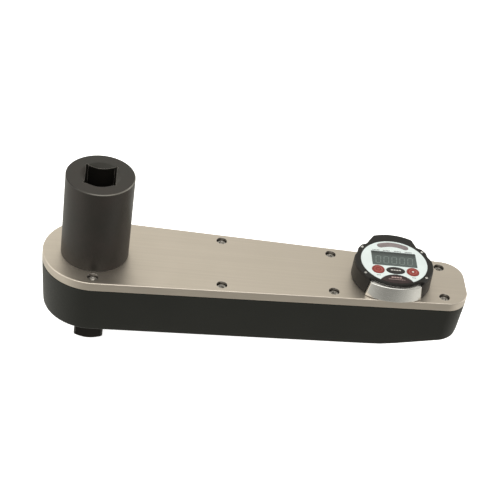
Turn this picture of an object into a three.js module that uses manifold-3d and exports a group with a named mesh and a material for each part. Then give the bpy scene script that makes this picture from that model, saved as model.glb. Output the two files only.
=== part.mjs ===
// Feed-through torque wrench with a torsion shaft, a sensing arm and a digital gauge.
// Units are millimetres. The drive axis is Z, the gauge lies along +X, and the origin is
// the middle of the male square's end face.
import * as THREE from 'three';
import { mergeVertices } from 'three/addons/utils/BufferGeometryUtils.js';
import Module from 'manifold-3d';

const wasm = await Module();
wasm.setup();

// ---------------------------------------------------------------- driving dimensions
const maleSquare = 25.2;             // 1 inch square drive, across its flats
const femaleSquare = 25.7;
const runningGap = 0.08;             // radial clearance of a shaft in its bush
const fitGap = 0.1;                  // clearance between pieces that don't move apart
const restGap = 0.04;                // air between faces that rest on each other
const shankGap = 0.3;                // radial clearance of a screw's shank in its hole
const past = 1;                      // how far a cutter runs past the face that it opens

// sides of a full circle: large visible rounds, middling ones, and small or hidden holes
const fine = 40;
const medium = 20;
const coarse = 8;

// levels above the male square's end face
const undersideZ = 35.3;
const housingTopZ = 79.6;
const plateBottomZ = 80;
const plateTopZ = 88;
const towerTopZ = 167.6;
const dialZ = 105.4;

// plan outline shared by the housing, the gasket and the cover plate
const headRadius = 44.2;
const tailX = 304.9;
const tailCornerY = 10.1;
const tailCornerRadius = 19.3;
const draft = THREE.MathUtils.degToRad(3.3);
const wall = 5;
const floorThickness = 6;
const heelX = 257;
const heelSlope = THREE.MathUtils.degToRad(10);
const heelRound = 9;

const towerRadius = 28.85;
const spigotRadius = 18;
const journalRadius = 17;
const hubSeatRadius = 16;
const waistRadius = 10.5;

const gaugeX = 257.3;
const pinionRadius = 9;
const pinionTeeth = 18;
const armTwist = THREE.MathUtils.degToRad(1.5);   // full-scale twist either way
const sectorRadius = gaugeX - pinionRadius;

const faceRadius = 29.1;
const caseTopZ = 103.4;
const bezelScrewRadius = 32;
const bezelScrewAngle = THREE.MathUtils.degToRad(34);

const coverScrewSpots = [
  [0.7, 35.4],
  [109.3, 30.5],
  [205.9, 25.7],
  [302.8, 20.5],
];

// ---------------------------------------------------------------- materials
function finish(color, roughness, metalness) {
  return new THREE.MeshStandardMaterial({ color, roughness, metalness });
}

const blackCasting = finish(0x23241f, 0.55, 0.1);
const brushedPlate = finish(0xbdb5a6, 0.38, 0.9);
const blackOxide = finish(0x35322f, 0.42, 0.7);
const springSteel = finish(0x8a8d90, 0.35, 0.9);
const zincSteel = finish(0x9b958a, 0.3, 0.9);
const bronze = finish(0xb08d57, 0.4, 0.9);
const aluminium = finish(0xc4c5c3, 0.28, 0.9);
const blackPlastic = finish(0x1c1a19, 0.5, 0.0);
const blackRubber = finish(0x151515, 0.8, 0.0);
const whiteFace = finish(0xeef0ee, 0.35, 0.0);
const redPlastic = finish(0x9c2f30, 0.4, 0.0);
const greyWindow = finish(0x8f8488, 0.3, 0.0);
const lcdGlass = finish(0x4c5654, 0.15, 0.0);
const boardGreen = finish(0x1f5a3a, 0.6, 0.0);
const labelDark = finish(0x2b1418, 0.4, 0.0);
const cableGrey = finish(0x55585a, 0.6, 0.0);

// ---------------------------------------------------------------- solid helpers
function toManifold(geometry) {
  const bare = geometry.clone();
  bare.deleteAttribute('normal');
  bare.deleteAttribute('uv');
  const merged = mergeVertices(bare, 1e-4);
  return new wasm.Manifold(new wasm.Mesh({
    numProp: 3,
    vertProperties: new Float32Array(merged.attributes.position.array),
    triVerts: new Uint32Array(merged.index.array),
  }));
}

function fromManifold(solid) {
  const mesh = solid.getMesh();
  const geometry = new THREE.BufferGeometry();
  geometry.setAttribute('position', new THREE.BufferAttribute(new Float32Array(mesh.vertProperties), 3));
  geometry.setIndex(new THREE.BufferAttribute(new Uint32Array(mesh.triVerts), 1));
  geometry.computeVertexNormals();
  return geometry;
}

function cut(base, ...tools) {
  return fromManifold(tools.reduce((solid, tool) => solid.subtract(toManifold(tool)), toManifold(base)));
}

function join(base, ...others) {
  return fromManifold(others.reduce((solid, other) => solid.add(toManifold(other)), toManifold(base)));
}

function common(first, second) {
  return fromManifold(toManifold(first).intersect(toManifold(second)));
}

// A turned solid about Z. The profile lists [radius, z] from the bottom up on the outside.
function turned(profile, segments = medium) {
  const points = profile.map(([radius, z]) => new THREE.Vector2(radius, z));
  return new THREE.LatheGeometry(points, segments).rotateX(Math.PI / 2);
}

function disc(radius, bottom, top, segments = medium) {
  return turned([[0, bottom], [radius, bottom], [radius, top], [0, top]], segments);
}

// A cutter for a round hole. Its flat sides touch the stated radius, so that a shaft clears it.
function bore(radius, bottom, top, segments = medium) {
  return disc(radius / Math.cos(Math.PI / segments), bottom, top, segments);
}

function ring(inner, outer, bottom, top, segments = medium) {
  const hole = inner / Math.cos(Math.PI / segments);
  return turned([[hole, bottom], [outer, bottom], [outer, top], [hole, top], [hole, bottom]], segments);
}

function block(sizeX, sizeY, bottom, top, x = 0, y = 0) {
  const height = top - bottom;
  return new THREE.BoxGeometry(sizeX, sizeY, height).translate(x, y, bottom + height / 2);
}

function prism(shape, bottom, top, curveSegments = 8) {
  const options = { depth: top - bottom, bevelEnabled: false, curveSegments };
  return new THREE.ExtrudeGeometry(shape, options).translate(0, 0, bottom);
}

// A prism of a side view drawn in X and Z, running the full width of the body along Y.
function sidePrism(shape, width) {
  const options = { depth: width, bevelEnabled: false, curveSegments: 6 };
  return new THREE.ExtrudeGeometry(shape, options).rotateX(Math.PI / 2).translate(0, width / 2, 0);
}

function sweep(section, extrudePath, steps, curveSegments) {
  return new THREE.ExtrudeGeometry(section, { extrudePath, steps, curveSegments, bevelEnabled: false });
}

function polygon(points) {
  return new THREE.Shape(points.map(([x, y]) => new THREE.Vector2(x, y)));
}

function polar(radius, angle) {
  return [radius * Math.cos(angle), radius * Math.sin(angle)];
}

// Skins a stack of convex outlines that have the same number of points.
function loft(sections) {
  const count = sections[0].points.length;
  const positions = sections.flatMap(({ points, z }) => points.flatMap(([x, y]) => [x, y, z]));
  const indices = [];
  for (let level = 0; level + 1 < sections.length; level += 1) {
    for (let i = 0; i < count; i += 1) {
      const next = (i + 1) % count;
      const low = level * count;
      const high = low + count;
      indices.push(low + i, low + next, high + next, low + i, high + next, high + i);
    }
  }
  const top = (sections.length - 1) * count;
  for (let i = 1; i + 1 < count; i += 1) {
    indices.push(0, i + 1, i);
    indices.push(top, top + i, top + i + 1);
  }
  const geometry = new THREE.BufferGeometry();
  geometry.setAttribute('position', new THREE.Float32BufferAttribute(positions, 3));
  geometry.setIndex(indices);
  return geometry;
}

// ---------------------------------------------------------------- shared outlines
function arcPoints(x, y, radius, from, to, steps) {
  return Array.from({ length: steps + 1 }, (_, i) => {
    const [dx, dy] = polar(radius, from + ((to - from) * i) / steps);
    return [x + dx, y + dy];
  });
}

// Round head about the drive axis, straight flanks, and a tail with two corner arcs.
function bodyOutline(inset) {
  const reach = Math.hypot(tailX, tailCornerY);
  const flank = Math.atan2(tailCornerY, tailX) + Math.acos((headRadius - tailCornerRadius) / reach);
  const corner = tailCornerRadius - inset;
  return [
    ...arcPoints(0, 0, headRadius - inset, flank, 2 * Math.PI - flank, 28),
    ...arcPoints(tailX, -tailCornerY, corner, -flank, 0, 8),
    ...arcPoints(tailX, tailCornerY, corner, 0, flank, 8),
  ];
}

// Side view of everything above the underside, which lifts towards the tail.
function aboveUnderside(lift, round) {
  const slope = Math.tan(heelSlope);
  const end = tailX + tailCornerRadius - (round > 0 ? 1.5 : 0);
  const level = undersideZ + lift;
  const shape = new THREE.Shape();
  const top = towerTopZ;
  shape.moveTo(-2 * headRadius, level);
  shape.lineTo(heelX - 8, level);
  shape.quadraticCurveTo(heelX, level, heelX + 8, level + 8 * slope);
  shape.lineTo(end - round, level + (end - round - heelX) * slope);
  shape.quadraticCurveTo(end, level + (end - heelX) * slope, end + 2, level + (end - heelX) * slope + round);
  shape.lineTo(end + 2, top);
  shape.lineTo(-2 * headRadius, top);
  return shape;
}

// Twelve-tooth spline, grown by a clearance for the bore that takes it.
function splineOutline(grow) {
  const teeth = 12;
  const tip = spline.tip + grow;
  const root = spline.root + grow;
  const points = [];
  for (let i = 0; i < teeth; i += 1) {
    const middle = (i * 2 * Math.PI) / teeth;
    const step = Math.PI / teeth;
    points.push(polar(tip, middle - step * 0.3), polar(tip, middle + step * 0.3));
    points.push(polar(root, middle + step * 0.7), polar(root, middle + step * 1.3));
  }
  return polygon(points);
}

function coverScrewPlaces() {
  return coverScrewSpots.flatMap(([x, y]) => [[x, -y], [x, y]]);
}

// ---------------------------------------------------------------- fasteners
// A socket-head cap screw standing head up, with the head's underside at z = 0.
function capScrew({ headRadius: head, headHeight, socket, shankRadius, length, segments }) {
  const bevel = headHeight * 0.12;
  const body = turned([
    [0, -length],
    [shankRadius * 0.75, -length],
    [shankRadius, -length + shankRadius * 0.4],
    [shankRadius, 0],
    [head, 0],
    [head, headHeight - bevel],
    [head - bevel, headHeight],
    [0, headHeight],
  ], segments);
  const hexagon = new THREE.CylinderGeometry(socket, socket, headHeight, 6).rotateX(Math.PI / 2);
  return cut(body, hexagon.translate(0, 0, headHeight));
}

const coverScrew = {
  headRadius: 4.0, headHeight: 3.6, socket: 2.3, shankRadius: 2.4, length: 18, segments: 16,
};
const coverScrewRecess = 2.4;
const coverScrewSeatZ = plateTopZ - coverScrewRecess - coverScrew.headHeight;
const coverCounterboreRadius = 4.4;
const coverBossRadius = 5.6;

const towerScrew = {
  headRadius: 4.9, headHeight: 5.6, socket: 2.8, shankRadius: 2.9, length: 20, segments: coarse,
};
const towerScrewCircle = 22.8;
const towerScrewCount = 6;

const gaugeScrew = {
  headRadius: 3.4, headHeight: 3.6, socket: 1.7, shankRadius: 1.9, length: 7.5, segments: coarse,
};
const gaugeScrewCircle = 20;
const gaugeScrewCounterbore = 4;

// ---------------------------------------------------------------- housing and cover
function housing() {
  const depth = housingTopZ - undersideZ;
  const outer = common(
    loft([
      { points: bodyOutline(depth * Math.tan(draft)), z: undersideZ },
      { points: bodyOutline(0), z: housingTopZ },
    ]),
    sidePrism(aboveUnderside(0, heelRound), 3 * headRadius),
  );
  const cavity = common(
    loft([
      { points: bodyOutline(wall + depth * Math.tan(draft)), z: undersideZ },
      { points: bodyOutline(wall), z: housingTopZ + past },
    ]),
    sidePrism(aboveUnderside(floorThickness, 0), 3 * headRadius),
  );
  const holeBottomZ = coverScrewSeatZ - coverScrew.length - 1;
  const bosses = coverScrewPlaces().map(([x, y]) => (
    disc(coverBossRadius, holeBottomZ - 2, housingTopZ, 12).translate(x, y, 0)
  ));
  const stopBosses = stopPlaces().map(([x, y]) => (
    disc(2 * stopRadius, undersideZ + 1, stopSeatZ, 12).translate(x, y, 0)
  ));
  const bearingBoss = disc(bushRadius + 7, undersideZ + 1, bushTopZ, medium);
  const shell = cut(outer, cavity);
  const posts = common(outer, join(bearingBoss, ...bosses, ...stopBosses));
  const screwHoles = coverScrewPlaces().map(([x, y]) => (
    bore(coverScrew.shankRadius + shankGap, holeBottomZ, housingTopZ + past, coarse).translate(x, y, 0)
  ));
  const stopHoles = stopPlaces().map(([x, y]) => (
    bore(stopRadius + shankGap, stopSeatZ - stopDepth, stopSeatZ + past, coarse).translate(x, y, 0)
  ));
  return cut(
    join(shell, posts),
    bore(bushRadius + fitGap, undersideZ - past, bushTopZ + past, medium),
    bore(sealRadius + fitGap, undersideZ - past, sealTopZ, medium),
    ...screwHoles,
    ...stopHoles,
  );
}

function coverGasket() {
  const outline = polygon(bodyOutline(0.6));
  outline.holes.push(polygon(bodyOutline(wall - 0.8)));
  return prism(outline, housingTopZ + restGap, plateBottomZ - restGap);
}

function coverPlate() {
  const edge = 0.7;
  const slab = loft([
    { points: bodyOutline(0.2), z: plateBottomZ },
    { points: bodyOutline(0), z: plateBottomZ + 0.2 },
    { points: bodyOutline(0), z: plateTopZ - edge },
    { points: bodyOutline(edge), z: plateTopZ },
  ]);
  const below = plateBottomZ - past;
  const above = plateTopZ + past;
  const through = (radius, [x, y]) => bore(radius, below, above, coarse).translate(x, y, 0);
  const coverHoles = coverScrewPlaces().flatMap(([x, y]) => [
    through(coverScrew.shankRadius + shankGap, [x, y]),
    bore(coverCounterboreRadius, coverScrewSeatZ, above, 16).translate(x, y, 0),
  ]);
  const towerHoles = towerScrewPlaces().map((spot) => through(towerScrew.shankRadius + shankGap, spot));
  const dowelHoles = dowelPlaces().map((spot) => through(dowelRadius + dowelGap, spot));
  const gaugeHoles = gaugeScrewPlaces().flatMap(([x, y]) => [
    through(gaugeScrew.shankRadius + shankGap, [x, y]),
    bore(gaugeScrewCounterbore, below, plateBottomZ + gaugeScrewRecess, coarse).translate(x, y, 0),
  ]);
  return cut(
    slab,
    bore(spigotRadius + fitGap, below, above, medium),
    through(leadHoleRadius, [gaugeX + leadOffset, 0]),
    ...coverHoles,
    ...towerHoles,
    ...dowelHoles,
    ...gaugeHoles,
  );
}

// ---------------------------------------------------------------- tower and its fixings
const dowelRadius = 2.5;
const dowelLength = 16;
const dowelGap = 0.2;

function towerScrewPlaces() {
  return Array.from({ length: towerScrewCount }, (_, i) => (
    polar(towerScrewCircle, ((i + 0.5) * 2 * Math.PI) / towerScrewCount)
  ));
}

function dowelPlaces() {
  return [0, Math.PI].map((angle) => polar(towerScrewCircle, angle));
}

const spline = { bottomZ: 113, topZ: 132, tip: 14.4, root: 12.8, gap: 0.7 };
const socketDepth = 30;
const leadInDepth = 6.1;
const cornerRelief = 1.3;            // radius of the relief bored down each corner of the socket

function inputTower() {
  const chamfer = 0.6;
  const socketFloorZ = towerTopZ - socketDepth;
  const spigotBottomZ = plateBottomZ + 0.3;
  const body = turned([
    [0, spigotBottomZ],
    [spigotRadius, spigotBottomZ],
    [spigotRadius, plateTopZ + restGap],
    [towerRadius, plateTopZ + restGap],
    [towerRadius, towerTopZ - chamfer],
    [towerRadius - chamfer, towerTopZ],
    [0, towerTopZ],
  ], fine);
  const leadInTop = femaleSquare * 0.68;
  const leadInSlope = 1.5;           // widening of the lead-in's radius per millimetre of height
  const leadIn = turned([
    [0, towerTopZ - 2 * leadInDepth],
    [leadInTop - leadInSlope * leadInDepth, towerTopZ - leadInDepth],
    [leadInTop, towerTopZ],
    [leadInTop + leadInSlope * past, towerTopZ + past],
    [0, towerTopZ + past],
  ], medium);
  const corner = femaleSquare / 2 - 0.55;
  const reliefs = [[1, 1], [1, -1], [-1, 1], [-1, -1]].map(([x, y]) => (
    bore(cornerRelief, socketFloorZ, towerTopZ + past, coarse).translate(x * corner, y * corner, 0)
  ));
  const threads = towerScrewPlaces().map(([x, y]) => (
    bore(towerScrew.shankRadius + shankGap, plateTopZ - past, plateTopZ + 16, coarse).translate(x, y, 0)
  ));
  const dowels = dowelPlaces().map(([x, y]) => (
    bore(dowelRadius + dowelGap, plateTopZ - past, plateTopZ + 9, coarse).translate(x, y, 0)
  ));
  return cut(
    body,
    block(femaleSquare, femaleSquare, socketFloorZ, towerTopZ + past),
    leadIn,
    bore(spline.tip + spline.gap, plateBottomZ - past, spline.bottomZ, medium),
    prism(splineOutline(spline.gap), spline.bottomZ - past, spline.topZ + 0.8),
    ...reliefs,
    ...threads,
    ...dowels,
  );
}

function towerDowel() {
  const chamfer = 0.4;
  return turned([
    [0, 0],
    [dowelRadius - chamfer, 0],
    [dowelRadius, chamfer],
    [dowelRadius, dowelLength - chamfer],
    [dowelRadius - chamfer, dowelLength],
    [0, dowelLength],
  ], coarse);
}

// ---------------------------------------------------------------- torsion shaft and bearings
const bushRadius = 20.5;
const bushTopZ = 56;
const bushFlangeZ = 58;
const sealRadius = 23;
const sealTopZ = 40.8;
const clipZ = 32.4;
const clipHeight = 1.2;
const clipGroove = 1.3;
const clipRadius = 20;
const squareEndZ = 31;
const hubBottomZ = 58.4;
const hubTopZ = 73;
const keySize = 6;
const keyBottomZ = hubBottomZ + 1.6;

function keySlot() {
  return block(keySize, keySize + 2 * fitGap, keyBottomZ - 0.2, hubTopZ + 5, hubSeatRadius - 0.5);
}

function torsionShaft() {
  const corner = 0.67 * maleSquare;
  const squareEnd = common(
    block(maleSquare, maleSquare, 0, squareEndZ),
    turned([
      [0, 0],
      [corner - 4.7, 0],
      [corner, 2.8],
      [corner, squareEndZ],
      [0, squareEndZ],
    ], fine),
  );
  const groove = journalRadius - clipGroove;
  const stem = turned([
    [0, squareEndZ - 1],
    [journalRadius - 1, squareEndZ - 1],
    [journalRadius, squareEndZ],
    [journalRadius, clipZ],
    [groove, clipZ],
    [groove, clipZ + clipHeight],
    [journalRadius, clipZ + clipHeight],
    [journalRadius, bushFlangeZ],
    [hubSeatRadius, bushFlangeZ],
    [hubSeatRadius, hubTopZ + 3],
    [waistRadius, hubTopZ + 8],
    [waistRadius, spline.bottomZ - 3],
    [spline.root, spline.bottomZ + 1],
    [0, spline.bottomZ + 1],
  ], medium);
  const head = prism(splineOutline(0), spline.bottomZ + 0.5, spline.topZ);
  const ballBore = bore(detentBoreRadius, 0, detentBoreDepth + past, 12).rotateY(Math.PI / 2);
  return cut(
    join(squareEnd, stem, head),
    keySlot(),
    ballBore.translate(maleSquare / 2 - detentBoreDepth, 0, detentZ),
  );
}

function lowerBush() {
  const inner = (journalRadius + runningGap) / Math.cos(Math.PI / medium);
  const flange = bushRadius + 4;
  const bottom = sealTopZ + 2 * fitGap;
  return turned([
    [inner, bottom],
    [bushRadius, bottom],
    [bushRadius, bushTopZ + restGap],
    [flange, bushTopZ + restGap],
    [flange, bushFlangeZ],
    [inner, bushFlangeZ],
    [inner, bottom],
  ]);
}

function shaftSeal() {
  return ring(journalRadius + runningGap, sealRadius, undersideZ + 2 * fitGap, sealTopZ - 2 * fitGap);
}

function thrustWasher() {
  return ring(journalRadius + 2 * fitGap, 26, clipZ + clipHeight + fitGap, undersideZ - fitGap);
}

function retainingRing() {
  const outer = new THREE.Shape();
  const gap = THREE.MathUtils.degToRad(14);
  outer.absarc(0, 0, clipRadius, gap, 2 * Math.PI - gap, false);
  outer.absarc(0, 0, journalRadius - clipGroove + fitGap, 2 * Math.PI - gap, gap, true);
  return prism(outer, clipZ + restGap, clipZ + clipHeight - restGap, medium);
}

// ---------------------------------------------------------------- detent in the male square
const detentZ = 16;
const detentRadius = 3.3;
const detentBoreRadius = 3.5;
const detentBoreDepth = 9.5;
const detentTravel = 1.6;

function detentBall() {
  return new THREE.SphereGeometry(detentRadius, 12, 8);
}

// The detent spring, drawn at its pressed length so that the ball has its travel free.
function detentSpring() {
  const turns = 3.5;
  const pitch = 0.72;
  const coilRadius = 2.6;
  const wireRadius = 0.3;
  const coil = new THREE.Curve();
  coil.getPoint = (t, target = new THREE.Vector3()) => {
    const angle = t * turns * 2 * Math.PI;
    return target.set(t * turns * pitch, coilRadius * Math.cos(angle), coilRadius * Math.sin(angle));
  };
  const wire = new THREE.Shape();
  wire.absarc(0, 0, wireRadius, 0, 2 * Math.PI, false);
  return sweep(wire, coil, 28, 3);
}

// ---------------------------------------------------------------- sensing arm and encoder
const armBottomZ = 61;
const armTopZ = 69;
const stopRadius = 3;
const stopX = 170;
const stopSeatZ = 50;
const stopDepth = 6;
const stopLength = 24;
const toothModule = (2 * pinionRadius) / pinionTeeth;
const setScrewZ = 65.5;
const setScrewRadius = 2;
const leadOffset = 8.4;
const leadHoleRadius = 3.2;

function armHalfWidth(x) {
  return 9 - (x / sectorRadius) * 3.5;
}

function stopPlaces() {
  const clear = armHalfWidth(stopX) + stopX * Math.tan(armTwist) + 0.8 + stopRadius;
  return [[stopX, -clear], [stopX, clear]];
}

// One tooth's four corners, for a wheel whose teeth point outwards from its centre.
function toothCorners(radius, middle) {
  const root = radius - 1.15 * toothModule;
  const tip = radius + 0.8 * toothModule;
  const rootHalf = (0.85 * toothModule) / root;
  const tipHalf = (0.34 * toothModule) / tip;
  return [
    polar(root, middle - rootHalf),
    polar(tip, middle - tipHalf),
    polar(tip, middle + tipHalf),
    polar(root, middle + rootHalf),
  ];
}

// The arm's plan outline: nine teeth on a sector that necks down to a tapered arm.
function armOutline() {
  const pitchAngle = toothModule * Math.PI / sectorRadius;
  const count = 9;
  const teeth = Array.from({ length: count }, (_, i) => (
    toothCorners(sectorRadius, (i - (count - 1) / 2) * pitchAngle)
  ));
  const spread = (count * pitchAngle) / 2;
  const shoulderRadius = sectorRadius - 1.2 * toothModule;
  const backRadius = sectorRadius - 9;
  const neckX = backRadius - 12;
  return polygon([
    ...teeth.flat(),
    polar(shoulderRadius, spread + 1 / shoulderRadius),
    polar(backRadius, spread),
    [neckX, armHalfWidth(backRadius)],
    [0, armHalfWidth(0)],
    [0, -armHalfWidth(0)],
    [neckX, -armHalfWidth(backRadius)],
    polar(backRadius, -spread),
    polar(shoulderRadius, -spread - 1 / shoulderRadius),
  ]);
}

function sensingArm() {
  const windowLength = 34;
  const windows = [60, 120].map((x) => {
    const half = armHalfWidth(x + windowLength / 2) - 3.2;
    const slot = new THREE.Shape();
    slot.absarc(x, 0, half, Math.PI / 2, (3 * Math.PI) / 2, false);
    slot.absarc(x + windowLength, 0, half, -Math.PI / 2, Math.PI / 2, false);
    return prism(slot, armBottomZ - past, armTopZ + past);
  });
  const setScrewBore = bore(setScrewRadius + shankGap, 0, 20, coarse).rotateY(-Math.PI / 2);
  return cut(
    join(disc(26, hubBottomZ, hubTopZ, 28), prism(armOutline(), armBottomZ, armTopZ)),
    bore(hubSeatRadius + fitGap, hubBottomZ - past, hubTopZ + past),
    block(keySize + 1, keySize + 2 * fitGap, hubBottomZ - past, hubTopZ + past, hubSeatRadius),
    setScrewBore.translate(-hubSeatRadius + 2, 0, setScrewZ),
    ...windows,
  );
}

function hubKey() {
  return block(keySize - 0.4, keySize, keyBottomZ, hubTopZ - 0.5, hubSeatRadius - 0.1);
}

function hubSetScrew() {
  const length = 8.5;
  const body = disc(setScrewRadius, 0, length, coarse);
  const hexagon = new THREE.CylinderGeometry(1.1, 1.1, 4, 6).rotateX(Math.PI / 2);
  return cut(body, hexagon.translate(0, 0, length));
}

function overloadStop() {
  return turned([
    [0, 0],
    [stopRadius, 0],
    [stopRadius, stopLength - 0.6],
    [stopRadius - 0.6, stopLength],
    [0, stopLength],
  ], coarse);
}

const encoderBottomZ = 71;
const spindleRadius = 2.4;
const spindleReach = 7;
const leadRadius = 1.3;

function encoderPinion() {
  const pitchAngle = (2 * Math.PI) / pinionTeeth;
  const teeth = Array.from({ length: pinionTeeth }, (_, i) => (
    toothCorners(pinionRadius, (i + 0.5) * pitchAngle)
  ));
  return join(
    prism(polygon(teeth.flat()), armBottomZ - 0.5, armTopZ + 0.5),
    disc(spindleRadius, armBottomZ - 0.5, encoderBottomZ + spindleReach, coarse),
  );
}

function encoder() {
  const canRadius = 10.5;
  const can = turned([
    [0, encoderBottomZ],
    [5, encoderBottomZ],
    [5, encoderBottomZ + 1],
    [canRadius, encoderBottomZ + 1],
    [canRadius, plateBottomZ - restGap],
    [0, plateBottomZ - restGap],
  ]);
  const spindleTopZ = encoderBottomZ + spindleReach + shankGap;
  return cut(
    can,
    bore(spindleRadius + shankGap, encoderBottomZ - past, spindleTopZ, coarse),
    bore(leadRadius + 0.4, encoderBottomZ + 4, plateBottomZ + past, coarse).translate(leadOffset, 0, 0),
  );
}

function encoderLead() {
  const path = new THREE.CatmullRomCurve3([
    new THREE.Vector3(leadOffset, 0, encoderBottomZ + 4.5),
    new THREE.Vector3(leadOffset, 0, plateBottomZ + 3),
    new THREE.Vector3(leadOffset, 0, plateTopZ + 1),
    new THREE.Vector3(leadOffset - 0.8, 0.6, plateTopZ + 4.5),
    new THREE.Vector3(leadOffset - 1.6, 1.2, boardZ - 0.3),
  ]);
  const section = new THREE.Shape();
  section.absarc(0, 0, leadRadius, 0, 2 * Math.PI, false);
  return sweep(section, path, 9, 4);
}

// ---------------------------------------------------------------- gauge
const boardZ = 96.4;
const boardThickness = 1.6;
const padRadius = 48;
const padX = -0.6;
const padFrontY = -34.4;
const padHalfTop = 22.2;
const padHalfBottom = 24.7;
const caseBottomZ = plateTopZ + 0.4;
const gaugeScrewRecess = 4.6;
const bodyRadius = 29.6;
const cupRadius = 27;

// The case's outline as [angle in degrees, radius], once round. Equal radii are joined by an arc.
const caseCorners = [
  [10, 34.6],
  [21, 33.0],
  [28, 34.5],
  [39, 34.5],
  [46, 32.6],
  [61, 39.2],
  [113, 39.2],
  [134, 32.6],
  [141, 34.5],
  [152, 34.5],
  [159, 33.0],
  [170, 34.6],
];

function gaugeScrewPlaces() {
  return [90, 210, 330].map((degrees) => {
    const [x, y] = polar(gaugeScrewCircle, THREE.MathUtils.degToRad(degrees));
    return [gaugeX + x, y];
  });
}

function bezelScrewPlaces() {
  return [1, -1].flatMap((side) => [
    polar(bezelScrewRadius, side * bezelScrewAngle),
    polar(bezelScrewRadius, Math.PI - side * bezelScrewAngle),
  ]);
}

// The case's outline about the gauge axis.
function caseOutline(inset) {
  return caseCorners.flatMap(([degrees, radius], i) => {
    const [nextDegrees, nextRadius] = caseCorners[(i + 1) % caseCorners.length];
    const span = (nextDegrees - degrees + 360) % 360;
    const steps = nextRadius === radius ? Math.max(1, Math.round(span / 7)) : 1;
    return Array.from({ length: steps }, (_, k) => (
      polar(radius - inset, THREE.MathUtils.degToRad(degrees + (span * k) / steps))
    ));
  });
}

// A wedge across the front of the gauge whose sides spread downwards, up to y = back.
function frontWedge(shrink, bottom, top, back) {
  const spread = (padHalfBottom - padHalfTop) / (caseTopZ - plateTopZ);
  const half = (z) => padHalfTop - shrink + (caseTopZ - z) * spread;
  const sides = new THREE.Shape([
    new THREE.Vector2(-half(bottom), bottom),
    new THREE.Vector2(half(bottom), bottom),
    new THREE.Vector2(half(top), top),
    new THREE.Vector2(-half(top), top),
  ]);
  const width = 2 * bodyRadius;
  return sidePrism(sides, width).translate(padX, back - width / 2, 0);
}

// Front pad of the metal body, with a crowned front.
function frontPad(bottom, top) {
  const crown = new THREE.Shape();
  const reach = Math.asin((padHalfBottom + 2) / padRadius);
  crown.absarc(padX, padFrontY + padRadius, padRadius, -Math.PI / 2 - reach, -Math.PI / 2 + reach, false);
  crown.lineTo(padX, -16);
  return common(prism(crown, bottom, top, 20), frontWedge(0.3, bottom, top, -17));
}

function gaugeBody() {
  const top = caseTopZ - fitGap;
  const floorZ = caseBottomZ + 3;
  const body = join(disc(bodyRadius, caseBottomZ, top, fine), frontPad(caseBottomZ, top));
  const thread = gaugeScrew.shankRadius + shankGap;
  const threads = gaugeScrewPlaces().map(([x, y]) => (
    bore(thread, caseBottomZ - past, floorZ + 0.6, coarse).translate(x - gaugeX, y, 0)
  ));
  return cut(
    body,
    bore(cupRadius, floorZ, top + past, 28),
    bore(leadHoleRadius, caseBottomZ - past, top, coarse).translate(leadOffset, 0, 0),
    ...threads,
  );
}

function gaugeCase() {
  const outer = loft([
    { points: caseOutline(-0.3), z: caseBottomZ },
    { points: caseOutline(0), z: caseTopZ },
  ]);
  const above = caseTopZ + past;
  const screwHoles = bezelScrewPlaces().map(([x, y]) => (
    bore(bezelScrewShank + 0.15, caseTopZ - 8, above, coarse).translate(x, y, 0)
  ));
  return cut(
    outer,
    bore(bodyRadius + 0.3, caseBottomZ - past, above, fine),
    frontWedge(0, caseBottomZ - past, above, -16),
    ...screwHoles,
  );
}

function gaugeGasket() {
  return ring(25, 28.5, plateTopZ + restGap, caseBottomZ - restGap, 28);
}

function gaugeBezel() {
  const bottom = caseTopZ + fitGap;
  const top = dialZ + 0.3;
  const rimRadius = 31;
  const lobeFrontY = -24.8;
  const outer = loft([
    { points: caseOutline(0.1), z: bottom },
    { points: caseOutline(0.4), z: top - 0.5 },
    { points: caseOutline(1), z: top },
  ]);
  const lobes = 4 * rimRadius;
  const keep = join(
    disc(rimRadius, bottom - past, top + past, fine),
    block(lobes, lobes, bottom - past, top + past, 0, lobes / 2 + lobeFrontY),
  );
  const screwHoles = bezelScrewPlaces().flatMap(([x, y]) => [
    bore(bezelScrewShank + 0.15, bottom - past, top + past, coarse).translate(x, y, 0),
    bore(bezelScrewHead + 0.2, bezelScrewSeatZ - restGap, top + past, 12).translate(x, y, 0),
  ]);
  return cut(
    common(outer, keep),
    bore(faceRadius + fitGap, dialBottomZ, top + past, fine),
    bore(faceRadius - 1.4, bottom - past, top, fine),
    ...screwHoles,
  );
}

function bezelScrew() {
  const length = 7;
  const headHeight = 0.9;
  const body = turned([
    [0, -length],
    [bezelScrewShank, -length],
    [bezelScrewShank, 0],
    [bezelScrewHead, 0],
    [bezelScrewHead, 0.55],
    [bezelScrewHead - 0.4, headHeight],
    [0, headHeight],
  ], coarse);
  const socket = new THREE.CylinderGeometry(0.55, 0.55, 0.8, 6).rotateX(Math.PI / 2);
  return cut(body, socket.translate(0, 0, headHeight));
}

const dialBottomZ = dialZ - 1;
const bezelScrewShank = 0.8;
const bezelScrewHead = 1.4;
const bezelScrewSeatZ = dialZ - 0.65;
const capTopZ = dialZ + 0.45;        // top edge of the push buttons
const boardTopZ = boardZ + boardThickness;
const labelBottomZ = dialBottomZ + 0.6;
const windowSize = [39.4, 19.8];
const windowCentre = [0.3, 4.2];
const sideButton = { x: 15.1, y: -12, radius: 5.6 };
const modeButton = { y: -11.9, width: 16.6, height: 9.6 };
const signalArc = { inner: 21.2, outer: 27.3, from: 54, to: 122 };
const label = { rim: faceRadius - 0.4, arch: 16.4, topY: -17.3 };

function ellipse(width, height, x, y) {
  const shape = new THREE.Shape();
  shape.absellipse(x, y, width / 2, height / 2, 0, 2 * Math.PI, false);
  return shape;
}

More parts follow.
